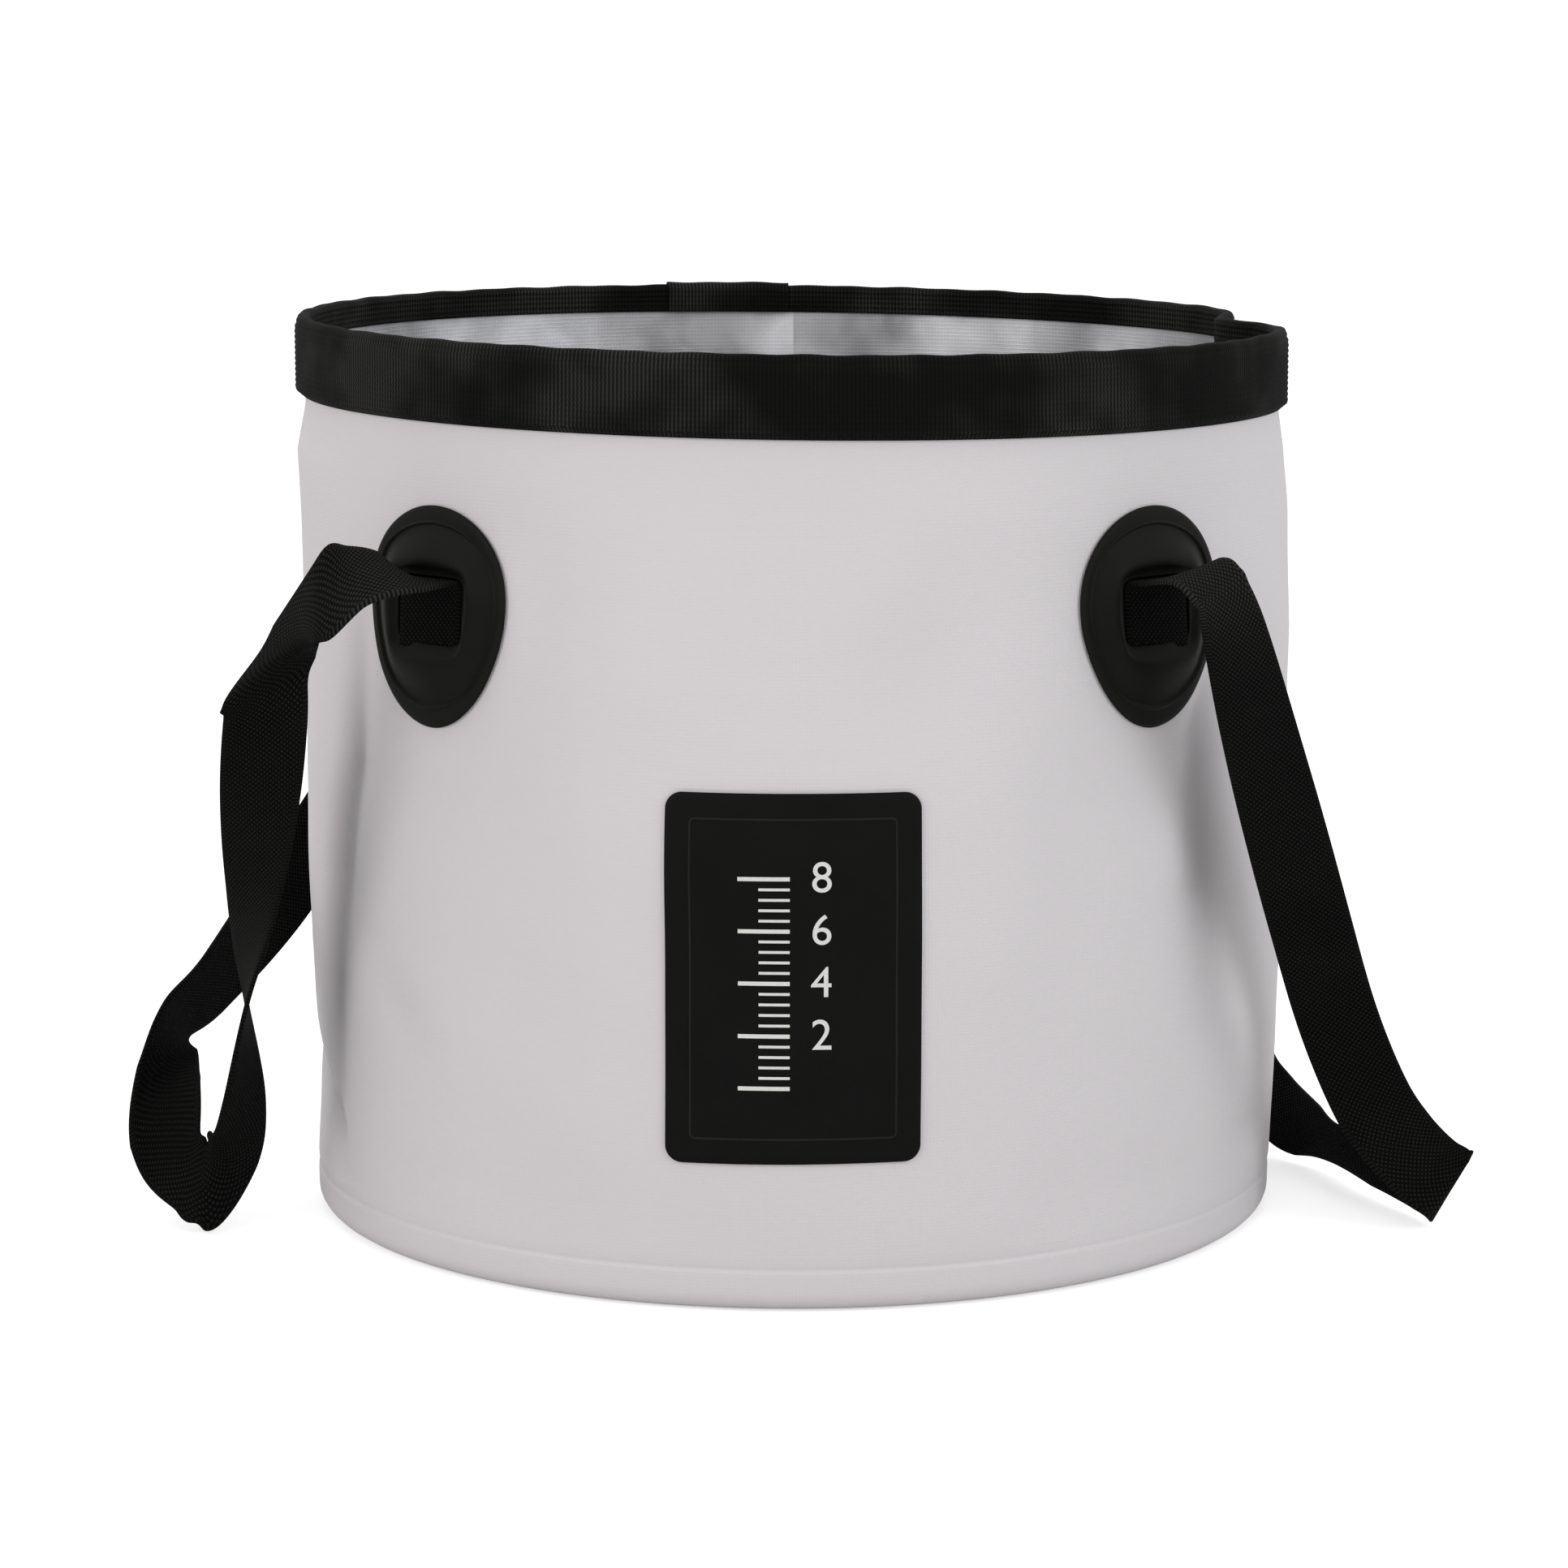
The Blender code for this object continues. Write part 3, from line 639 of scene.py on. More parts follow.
def coated_fabric():
    """Pale matt coating over a fine scrim that shows faintly through it, with painted shade in the
    wall's creases.
    """
    paint = Paint("coated_fabric")
    across, along, both = paint.chart()
    threads = scrim(across, along, SCRIM_PITCH)
    cloud = paint.noise(both, scale=9.0, detail=3.0)
    grain = paint.noise(both, scale=420.0)
    shade = (cloud - 0.5) * 0.10 + threads * 0.035 + 0.5
    unshaded = paint.shades(shade, colours().wall, darkest=0.90, lightest=1.05)
    # Painted shade: in the creases the colour turns towards a dark copy of the wall colour, standing in
    # for the shade there
    painted_shade = opaque(colours().wall, 0.42)
    colour = paint.blend(paint.attribute(CREASE_SHADE) ** 1.3 * 0.85, unshaded, painted_shade)
    soft = paint.bump(paint.noise(both, scale=38.0), distance=0.0006, strength=0.35)
    relief = threads * 0.7 + grain * 0.3
    fine = paint.bump(relief, distance=0.00012, strength=0.55, under=soft)
    roughness = 0.46 + (cloud - 0.5) * 0.12 + grain * 0.06
    return paint.finish(Base_Color=colour, Roughness=roughness, Normal=fine, Specular_IOR_Level=0.35)


def scrim(across, along, pitch):
    """A grid of threads, 0 between them and 1 on them."""
    first = 1.0 - (across * (math.pi / pitch)).sine().size()
    second = 1.0 - (along * (math.pi / pitch)).sine().size()
    return (first ** 3.0 + second ** 3.0).least(1.0)


def lining_fabric():
    """The fabric's inner face: a silvery film with soft crumples over the scrim, their highlights and
    shade painted into its colour.
    """
    paint = Paint("lining_fabric")
    across, along, both = paint.chart()
    threads = scrim(across, along, LINING_PITCH)
    cloud = paint.noise(both, scale=17.0, detail=1.5, roughness=0.45, distortion=0.25)
    crumple = paint.noise(both, scale=44.0, distortion=0.3)
    # Painted highlights and shade: the crumpled film's sheen is painted into its colour, lighter and
    # darker in patches
    painted_sheen = cloud.past(0.43, 6.0) * 0.65 + crumple.past(0.43, 5.0) * 0.35
    shade = painted_sheen * 0.9 + threads * 0.09
    colour = paint.shades(shade, colours().lining, darkest=0.38, lightest=1.18)
    folds = paint.bump(crumple, distance=0.003, strength=0.5)
    fine = paint.bump(threads, distance=0.00020, strength=0.6, under=folds)
    roughness = 0.42 - painted_sheen * 0.14
    return paint.finish(Base_Color=colour, Roughness=roughness, Normal=fine, Specular_IOR_Level=0.6)


def hem_tape():
    """Black binding tape: fine threads across its woven ribs."""
    paint = Paint("hem_tape")
    across, along, both = paint.chart()
    weft = across.waves(WEFT_PITCH)
    ribs = 1.0 - along.waves(sizes().rib_pitch)
    worn = paint.noise(both, scale=16.0, detail=3.0, roughness=0.6)
    fuzz = paint.noise(both, scale=1300.0)
    clear = worn.past(0.44, 6.0)
    relief = weft * (0.35 + clear * 0.4) + ribs * weft * 0.3 + fuzz * 0.25
    shade = (relief * (0.35 + clear * 0.65) + (worn - 0.5) * 0.3).clamped()
    colour = paint.shades(shade ** 1.4, colours().hem, darkest=0.6, lightest=6.0)
    roughness = 0.68 + fuzz * 0.2
    fine = paint.bump(relief, distance=0.00022)
    return paint.finish(Base_Color=colour, Roughness=roughness, Normal=fine, Specular_IOR_Level=0.05)


def strap_weave():
    """Black strap webbing: a broken twill of fine yarns between firm woven edges."""
    paint = Paint("strap_weave")
    across, along, both = paint.chart()
    twill = (across + along).waves(TWILL_PITCH)
    yarn = (across - along).waves(YARN_PITCH)
    edge = across.size().past(sizes().strap_width / 2 - WOVEN_EDGE, WOVEN_EDGE_SHARPNESS)
    rungs = along.waves(RUNG_PITCH)
    fuzz = paint.noise(both, scale=1500.0)
    worn = paint.noise(both, scale=24.0, detail=3.0, roughness=0.6)
    relief = twill * yarn * (1.0 - edge) + rungs * edge * 0.6 + fuzz * 0.25
    # Painted highlight: the weave is painted lighter along the strap's top stretch, where light from
    # above falls on it
    shade = (relief * (paint.attribute(STRAP_HIGHLIGHT) * 0.9 + 0.8) + (worn - 0.5) * 0.4).clamped()
    colour = paint.shades(shade ** 2.0, colours().strap, darkest=0.3, lightest=9.0)
    roughness = 0.66 + fuzz * 0.2
    fine = paint.bump(relief, distance=0.00030)
    return paint.finish(Base_Color=colour, Roughness=roughness, Normal=fine, Specular_IOR_Level=0.05)


def moulded_rubber(name, colour):
    """Satin black rubber with a fine moulded grain."""
    paint = Paint(name)
    place = paint.place()
    grain = paint.noise(place, scale=2200.0)
    cloud = paint.noise(place, scale=60.0, detail=3.0)
    shade = (cloud * 0.6 + grain * 0.3).clamped()
    mixed = paint.shades(shade, colour, darkest=0.6, lightest=1.5)
    fine = paint.bump(grain, distance=0.00006, strength=0.5)
    roughness = 0.42 + cloud * 0.12 + grain * 0.06
    return paint.finish(Base_Color=mixed, Roughness=roughness, Normal=fine, Specular_IOR_Level=0.07)


def plain_finish(name, colour, roughness, scale):
    """A plain finish with a little unevenness, for ink, thread and strips."""
    paint = Paint(name)
    grain = paint.noise(paint.place(), scale)
    mixed = paint.shades(grain, colour, darkest=0.88, lightest=1.08)
    fine = paint.bump(grain, distance=0.00003, strength=0.4)
    uneven = roughness + grain * 0.1
    return paint.finish(Base_Color=mixed, Roughness=uneven, Normal=fine, Specular_IOR_Level=0.1)


def finish_named(name):
    """The finish of that name, made on its first use."""
    makers = {
        "coated_fabric": coated_fabric,
        "lining_fabric": lining_fabric,
        "hem_tape": hem_tape,
        "strap_weave": strap_weave,
        "patch_rubber": lambda: moulded_rubber("patch_rubber", colours().rubber),
        "label_skin": lambda: moulded_rubber("label_skin", colours().label),
        "label_line": lambda: moulded_rubber("label_line", colours().label_line),
        "label_ink": lambda: plain_finish("label_ink", colours().ink, 0.55, 900.0),
        "thread": lambda: plain_finish("thread", colours().thread, 0.6, 2500.0),
        "strip_plastic": lambda: plain_finish("strip_plastic", colours().plastic, 0.4, 300.0),
    }
    return bpy.data.materials.get(name) or makers[name]()


def smooth(value):
    """A rise from 0 to 1 with level ends."""
    value = np.clip(value, 0.0, 1.0)
    return value * value * (3.0 - 2.0 * value)


def ways(azimuth):
    """The unit vectors outwards and around at an azimuth."""
    angle = np.radians(azimuth)
    level = np.zeros_like(angle)
    outwards = np.stack([np.sin(angle), -np.cos(angle), level], axis=-1)
    return outwards, np.stack([np.cos(angle), np.sin(angle), level], axis=-1)


def arc_degrees(length):
    """The azimuth that a length around the wall takes up."""
    return np.degrees(length / sizes().body_radius)


def hem_stack():
    """How far the hem's outer face stands off the wall's outer face."""
    size = sizes()
    return GAP + size.stiffener + GAP + size.binding


def rim_top(azimuth):
    """The height of the hem's top edge."""
    return sizes().height - sizes().rim_tilt * np.sin(np.radians(azimuth))


def lens_radius(azimuth, height, pinch_share=0.0):
    """The bare wall's radius: a circle below, an oval above that gives way by a share."""
    size = sizes()
    lens = smooth((height - LENS_START) / (size.height - LENS_START))
    angle = np.radians(azimuth)
    across = np.sin(angle) / (size.rim_half_width - hem_stack())
    ahead = np.cos(angle) / (size.rim_half_depth - hem_stack())
    oval = (1.0 - pinch_share) / np.hypot(across, ahead)
    return size.body_radius + (oval - size.body_radius) * lens


def under_patch(azimuth, height):
    """1 under a moulded patch, which keeps the fabric smooth, and 0 away from it."""
    under = np.zeros(np.broadcast(azimuth, height).shape)
    for middle in CORNERS.values():
        side = (azimuth - middle) / arc_degrees(sizes().patch_width / 2)
        rise = (height - PATCH_CENTRE) / (sizes().patch_height / 2)
        near = (CALM_REACH_SHARE - np.hypot(side, rise)) / CALM_FADE_SHARE
        under = np.maximum(under, smooth(near))
    return under


def wrapped(azimuth):
    """An azimuth brought between -180 and 180."""
    return (azimuth + 180.0) % 360.0 - 180.0


def outer_side(azimuth):
    """Which way around the bucket its nearer side lies: 1 for larger azimuths and -1 for smaller."""
    return math.copysign(1.0, math.sin(math.radians(2.0 * azimuth)))


def crease_depths(azimuth, height):
    """How deep the wall is creased."""
    depths = np.zeros(np.broadcast(azimuth, height).shape)
    azimuth = wrapped(azimuth)
    for crease in CREASES:
        heights, *rows = np.array(crease).T
        valley, depth, before, after = (np.interp(height, heights, row) for row in rows)
        side = azimuth - valley
        depths += depth * np.exp(-((side / np.where(side < 0.0, before, after)) ** 2))
    return depths * (1.0 - under_patch(azimuth, height))


def fabric_relief(azimuth, height):
    """How far creases, swells and slow waves move the wall outwards."""
    relief = -crease_depths(azimuth, height)
    for middle, swell in ((-90.0, LEFT_SWELL), (90.0, RIGHT_SWELL)):
        heights, rises = np.array(swell).T
        side = wrapped(azimuth - middle)
        relief += np.interp(height, heights, rises) * np.exp(-((side / SWELL_SPREAD) ** 2))
    heights, falls = np.array(SLACK).T
    for corner in CORNERS.values():
        side = wrapped(azimuth - (corner - SLACK_SHIFT * outer_side(corner)))
        relief -= np.interp(height, heights, falls) * np.exp(-((side / SLACK_SPREAD) ** 4))
    calm = smooth(height / WAVE_CALM) * smooth((WAVE_TOP - height) / WAVE_CALM)
    for turns, climb, phase, reach in WAVES:
        relief += calm * reach * np.sin(turns * np.radians(azimuth) + climb * height / WAVE_RISE + phase)
    return relief


def plan(azimuth, height):
    """The wall's outer face in plan."""
    pinch_share = PINCH_SHARE * np.exp(-(((azimuth - PINCH_AZIMUTH) / PINCH_SPREAD) ** 2))
    radius = lens_radius(azimuth, height, pinch_share) + fabric_relief(azimuth, height)
    return ways(azimuth)[0] * radius[..., None]


def wall_ways(azimuth, height):
    """The unit vectors square to the wall and around it."""
    chord = plan(azimuth + TANGENT_STEP, height) - plan(azimuth - TANGENT_STEP, height)
    sideways = chord / np.linalg.norm(chord, axis=-1, keepdims=True)
    level = np.zeros(sideways.shape[:-1])
    return np.stack([sideways[..., 1], -sideways[..., 0], level], axis=-1), sideways


def wall_point(azimuth, height, offset):
    """Points at a distance outside the wall's outer face."""
    azimuth, height, offset = np.broadcast_arrays(*np.atleast_1d(azimuth, height, offset))
    azimuth, height, offset = (value.astype(float) for value in (azimuth, height, offset))
    points = plan(azimuth, height) + wall_ways(azimuth, height)[0] * offset[..., None]
    points[..., 2] += height
    return points


def add_object(name, data, materials=()):
    """An object of a mesh, text, lamp or camera in the scene, at the origin."""
    made = bpy.data.objects.new(name, data)
    bpy.context.scene.collection.objects.link(made)
    for material in materials:
        data.materials.append(finish_named(material))
    return made


def grid_object(name, points, chart, materials, closed=False):
    """A surface through rows of points, with a UV map in metres. It faces where the columns'
    way turned into the rows' way points. Closed joins the last column to the first."""
    rows, columns = points.shape[:2]
    kept = columns - 1 if closed else columns
    row, column = np.meshgrid(np.arange(rows - 1), np.arange(columns - 1), indexing="ij")
    corners = [(row, column), (row, column + 1), (row + 1, column + 1), (row + 1, column)]
    faces = np.stack([up * kept + side % kept for up, side in corners], axis=-1)
    mesh = bpy.data.meshes.new(name)
    mesh.from_pydata(points[:, :kept].reshape(-1, 3).tolist(), [], faces.reshape(-1, 4).tolist())
    layer = mesh.uv_layers.new(name=CHART)
    places = np.stack([chart[up, side] for up, side in corners], axis=-2)
    layer.data.foreach_set("uv", places.astype(np.float32).ravel())
    return add_object(name, mesh, materials)


def thicken(made, thickness, inner=0):
    """Gives a surface its thickness behind its front. Inner is the material behind it."""
    shell = made.modifiers.new("thickness", "SOLIDIFY")
    shell.thickness = thickness
    shell.offset = -1.0
    shell.use_even_offset = True
    shell.material_offset = inner
    shell.material_offset_rim = inner
    return settle(made)


def plain_mesh(made):
    """The mesh that an object's text or modifiers make."""
    return bpy.data.meshes.new_from_object(made.evaluated_get(bpy.context.evaluated_depsgraph_get()))


def settle(made):
    """Turns an object's modifiers into its plain mesh, shaded smooth between its edges."""
    mesh = plain_mesh(made)
    made.modifiers.clear()
    made.data = mesh
    mesh.name = made.name
    mesh.shade_smooth()
    mesh.set_sharp_from_angle(angle=math.radians(SHARP_TURN))
    return made


def edit(made, change):
    """Runs a change on an object's mesh in bmesh."""
    shape = bmesh.new()
    shape.from_mesh(made.data)
    change(shape)
    shape.to_mesh(made.data)
    shape.free()
    return made


def merge_doubles(shape):
    bmesh.ops.remove_doubles(shape, verts=shape.verts, dist=MERGE)


def chart_of(across, along):
    return np.stack(np.broadcast_arrays(across, along), axis=-1)


def follow_fold(made, node=None):
    """Bakes a piece's place into its mesh; if a node is given, the piece stands for it."""
    if node:
        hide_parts(node)
    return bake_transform(made)


def stand_for(made, node, body):
    """Lets a piece stand for a node and move with a body."""
    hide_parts(node)
    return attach(made, body)


def mark_points(made, name, values):
    """Gives a mesh's points a value each, which a material reads."""
    layer = made.data.attributes.new(name, "FLOAT", "POINT")
    layer.data.foreach_set("value", values.astype(np.float32).ravel())


def make_wall():
    """The wall: a flat flange, a rounded corner, the weld's groove and the tall side."""
    size = sizes()
    turn = np.linspace(0.0, math.pi / 2, WALL_CORNER_ROWS)
    corner_inset = CORNER_RADIUS * (np.sin(turn) - 1.0)
    corner_height = CORNER_RADIUS * (1.0 - np.cos(turn))
    flange = np.linspace(-CORNER_RADIUS - FLOOR_FLANGE, -CORNER_RADIUS, WALL_CORNER_ROWS)[:-1]
    weld = np.linspace(WELD_FOOT, WELD_TOP, WELD_ROWS)
    groove = -GROOVE_DEPTH * np.exp(-(((weld - FLOOR_WELD - GROOVE_RISE) / GROOVE_SPREAD) ** 2))
    ledge = smooth((weld - FLOOR_WELD) / LEDGE_START) * smooth((LEDGE_TOP - weld) / LEDGE_END)
    groove -= LEDGE_DEPTH * ledge
    azimuth = np.linspace(-180.0, 180.0, WALL_COLUMNS + 1)[None, :]
    top = rim_top(azimuth) - size.binding - GAP
    foot = np.concatenate([np.zeros(len(flange)), corner_height, weld])[:, None]
    side = SIDE_FOOT + (top - SIDE_FOOT) * np.linspace(0.0, 1.0, WALL_ROWS)[:, None]
    heights = np.concatenate([np.tile(foot, azimuth.shape), side])
    insets = np.concatenate([flange, corner_inset, groove, np.zeros(WALL_ROWS)])[:, None]
    points = wall_point(azimuth, heights, insets)
    chart = chart_of(np.radians(azimuth) * size.body_radius, heights + insets)
    made = grid_object("wall", points, chart, ["coated_fabric", "lining_fabric"], closed=True)
    # Painted shade: how deep a point lies in a crease sets how much the wall's colour is darkened there
    painted_shade = np.clip(crease_depths(azimuth, heights) / FULL_SHADE_DEPTH, 0.0, 1.0)
    mark_points(made, CREASE_SHADE, painted_shade[:, :-1])
    thicken(made, size.fabric, inner=1)
    return follow_fold(made, "wall_panel")


def make_wall_lap():
    """The overlapping end of the wall sheet, a welded strip up the back."""
    size = sizes()
    half = arc_degrees(WALL_LAP_HALF)
    azimuth = 180.0 + half * np.linspace(-1.0, 1.0, LAP_COLUMNS + 1)[None, :]
    top = rim_top(azimuth) - size.hem_outside - SEAT
    heights = CORNER_RADIUS + (top - CORNER_RADIUS) * np.linspace(0.0, 1.0, LAP_ROWS)[:, None]
    points = wall_point(azimuth, heights, SEAT + size.fabric)
    chart = chart_of(np.radians(azimuth) * size.body_radius, heights)
    made = grid_object("wall_seam", points, chart, ["coated_fabric"])
    thicken(made, size.fabric)
    return follow_fold(made, "wall_lap")


def make_floor():
    """The floor panel: a disc of the fabric with its edge turned up inside the wall."""
    size = sizes()
    base = size.fabric + GAP
    edge = size.body_radius - size.fabric - GAP
    bend = CORNER_RADIUS - base
    turn = np.linspace(0.0, math.pi / 2, FLOOR_CORNER_RINGS)
    flat = np.linspace(0.0, edge - bend, FLOOR_RINGS + 1)[:-1]
    radii = np.concatenate([flat, edge - bend + bend * np.sin(turn), [edge]])
    rises = np.concatenate([np.full(FLOOR_RINGS, base), base + bend - bend * np.cos(turn), [FLOOR_WELD]])
    outwards, _ = ways(np.linspace(-180.0, 180.0, FLOOR_COLUMNS + 1)[None, :])
    points = outwards * radii[:, None, None]
    points[..., 2] = rises[:, None]
    reach = radii + np.maximum(rises - base, 0.0)
    chart = (outwards * reach[:, None, None])[..., :2]
    made = grid_object("floor_disc", points, chart, ["coated_fabric", "lining_fabric"], closed=True)
    edit(made, merge_doubles)
    thicken(made, size.fabric, inner=1)
    return stand_for(made, "floor_panel", "bucket_base")


def rib_swell(ribs, shares):
    """How far the tape's ribs stand out, at shares of the way over all of them."""
    return sizes().rib_height * (0.5 - 0.5 * np.cos(2.0 * math.pi * ribs * shares))


def hem_profile(layer):
    """The folded tape's face, as offsets from the wall, heights above the hem's top and lengths
    along it. It starts low on the outside, where the ribs stand. Layer is how far it lies over
    the first tape."""
    size = sizes()
    ribs = round(size.hem_outside / size.rib_pitch)
    steps = np.linspace(0.0, 1.0, ribs * RIB_STEPS + 1)
    climb = -size.hem_outside + (size.hem_outside - HEM_ROUND) * steps
    sewn = GAP + size.tape
    outside = sewn + (hem_stack() - sewn) * smooth((climb + size.hem_outside) / HEM_PRESSED)
    outside -= HEM_NARROWING * smooth((climb + HEM_CROWN) / (HEM_CROWN - HEM_ROUND))
    inside = -(size.fabric + GAP + size.tape)
    half = (outside[-1] - inside) / 2
    turn = np.linspace(0.0, math.pi, HEM_TURN_STEPS + 1)[1:]
    depth = np.linspace(0.0, 1.0, INNER_RIBS * RIB_STEPS + 1)[1:]
    offsets = [
        outside + rib_swell(ribs, steps),
        inside + half + half * np.cos(turn),
        inside - rib_swell(INNER_RIBS, depth),
    ]
    heights = [
        climb,
        HEM_ROUND * (np.sin(turn) - 1.0),
        -HEM_ROUND - (size.hem_inside - HEM_ROUND) * depth,
    ]
    away = [np.ones_like(steps), np.cos(turn), -np.ones_like(depth)]
    over = [np.zeros_like(steps), np.sin(turn), np.zeros_like(depth)]
    offsets = np.concatenate(offsets) + layer * np.concatenate(away)
    heights = np.concatenate(heights) + layer * np.concatenate(over)
    lengths = np.append(0.0, np.cumsum(np.hypot(np.diff(offsets), np.diff(heights))))
    return offsets, heights, lengths


def hem_face(rise, layer=0.0):
    """How far the tape's outer face stands off the wall at a height below the hem's top."""
    offsets, heights, _ = hem_profile(layer)
    highest = np.argmax(heights)
    return np.interp(rise, heights[:highest], offsets[:highest])


def hem_strip(name, start, end, columns, layer, node, closed):
    """A stretch of the hem between two azimuths."""
    size = sizes()
    offsets, heights, lengths = (values[:, None] for values in hem_profile(layer))
    azimuth = np.linspace(start, end, columns + 1)[None, :]
    turn = np.radians(azimuth)
    bumps = HEM_BUMP * sum(share * np.sin(turn * turns + phase) for turns, phase, share in HEM_WAVES)
    rises = rim_top(azimuth) + (heights + bumps * smooth((heights + HEM_CROWN) / HEM_CROWN))
    points = wall_point(azimuth, rises, offsets)
    chart = chart_of(turn * size.body_radius, lengths)
    made = grid_object(name, points, chart, ["hem_tape"], closed=closed)
    thicken(made, size.tape)
    return stand_for(made, node, "rim")


def make_hem():
    """The hem and the second layer where its end overlaps at the back."""
    hem_strip("hem", -180.0, 180.0, HEM_COLUMNS, 0.0, "rim_binding", True)
    start = 180.0 - arc_degrees(HEM_LAP_END)
    end = 180.0 - arc_degrees(HEM_LAP_START)
    layer = sizes().tape + GAP
    hem_strip("hem_end", start, end, HEM_LAP_COLUMNS, layer, "rim_binding_lap", False)


def colour_strips():
    """The stiffening strips inside the hem keep their shape and get their finish."""
    for name in ("rim_stiffener_front", "rim_stiffener_back"):
        node = frame["nodes"][name]
        node.data.materials.clear()
        node.data.materials.append(finish_named("strip_plastic"))


def rounded_columns(half, corner):
    """Places across a panel, closer together at its rounded corners."""
    turn = np.linspace(0.0, math.pi / 2, LABEL_CORNER_COLUMNS)
    flat = np.linspace(0.0, half - corner, LABEL_HALF_COLUMNS)[:-1]
    right = np.concatenate([flat, half - corner + corner * np.sin(turn)])
    return np.concatenate([-right[:0:-1], right])


def make_label():
    """The label panel, with rounded corners and a soft edge."""
    size = sizes()
    half = size.label_width / 2
    sides = rounded_columns(half, size.label_corner)[None, :]
    past = np.maximum(np.abs(sides) - (half - size.label_corner), 0.0)
    room = np.sqrt(np.maximum(size.label_corner**2 - past**2, 0.0))
    reach = LABEL_HALF_HEIGHT - size.label_corner + room
    shares = np.linspace(-1.0, 1.0, LABEL_ROWS)[:, None]
    rises = reach * shares
    inside = np.minimum(half - np.abs(sides), reach * (1.0 - np.abs(shares)))
    full = LABEL_EDGE_SHARE + (1.0 - LABEL_EDGE_SHARE) * smooth(inside / LABEL_SOFT_EDGE)
    points = wall_point(arc_degrees(sides), LABEL_MIDDLE + rises, SEAT + size.label_thickness * full)
    made = grid_object("label", points, chart_of(sides, rises), ["label_skin"])
    thicken(made, size.label_thickness * LABEL_BACK_SHARE)
    return follow_fold(made, "label_panel")


def on_label(points):
    """Wraps flat points, across and up from the label's middle and out from its face, on it."""
    offset = SEAT + sizes().label_thickness + points[:, 2]
    return wall_point(arc_degrees(points[:, 0]), LABEL_MIDDLE + points[:, 1], offset)


def make_label_frame():
    """The thin raised line around the label's middle."""
    size = sizes()
    half_width = size.label_width / 2 - size.label_frame
    half_height = LABEL_HALF_HEIGHT - size.label_frame
    line = []
    for quarter, (right, up) in enumerate(((1, 1), (-1, 1), (-1, -1), (1, -1))):
        centre = np.array([(half_width - LINE_CORNER) * right, (half_height - LINE_CORNER) * up])
        for step in range(LINE_CORNER_STEPS + 1):
            turn = math.radians(90.0 * quarter + 90.0 / LINE_CORNER_STEPS * step)
            line.append(centre + LINE_CORNER * np.array([math.cos(turn), math.sin(turn)]))
    line = np.array(line + line[:1])
    steps = np.append(0.0, np.cumsum(np.linalg.norm(np.diff(line, axis=0), axis=1)))
    places = np.unique(np.concatenate([steps, np.linspace(0.0, steps[-1], LINE_STEPS)]))
    path = np.stack([np.interp(places, steps, line[:, axis]) for axis in (0, 1)], axis=-1)
    before = np.roll(path[:-1], 1, axis=0)
    after = np.roll(path[:-1], -1, axis=0)
    tangent = after - before
    tangent /= np.linalg.norm(tangent, axis=1, keepdims=True)
    side = np.stack([tangent[:, 1], -tangent[:, 0]], axis=-1)
    turn = np.linspace(0.0, 2.0 * math.pi, LINE_SIDES + 1)
    ring = path[:-1, None, :] + side[:, None, :] * (LINE_HALF_WIDTH * np.cos(turn))[None, :, None]
    lift = np.broadcast_to(LINE_RISE * np.sin(turn), ring.shape[:2])
    points = np.concatenate([ring, lift[..., None]], axis=-1)
    points = np.concatenate([points, points[:1]])
    chart = chart_of(np.linspace(0.0, 1.0, len(points))[:, None], turn * LINE_HALF_WIDTH)
    points = on_label(points.reshape(-1, 3)).reshape(points.shape)
    made = grid_object("label_frame", points, chart, ["label_line"], closed=True)
    edit(made, merge_doubles)
    edit(made, lambda shape: bmesh.ops.recalc_face_normals(shape, faces=shape.faces))
    return follow_fold(settle(made))


def flat_text(body, place):
    """A plain number as a flat mesh, which starts at a place and is centred on its height."""
    curve = bpy.data.curves.new("numeral", "FONT")
    curve.body = body
    curve.size = NUMBER_HEIGHT / NUMERAL_SHARE
    curve.align_y = "CENTER"
    curve.extrude = PRINT_HALF_DEPTH
    curve.resolution_u = NUMERAL_STEPS
    made = add_object("numeral", curve)
    bpy.context.view_layer.update()
    mesh = plain_mesh(made)
    bpy.data.objects.remove(made)
    mesh.transform(Matrix.Translation(place))
    return mesh


def scale_height(step, steps):
    """The height on the label of a step of the scale."""
    return SCALE_FOOT + (SCALE_TOP - SCALE_FOOT) * step / steps


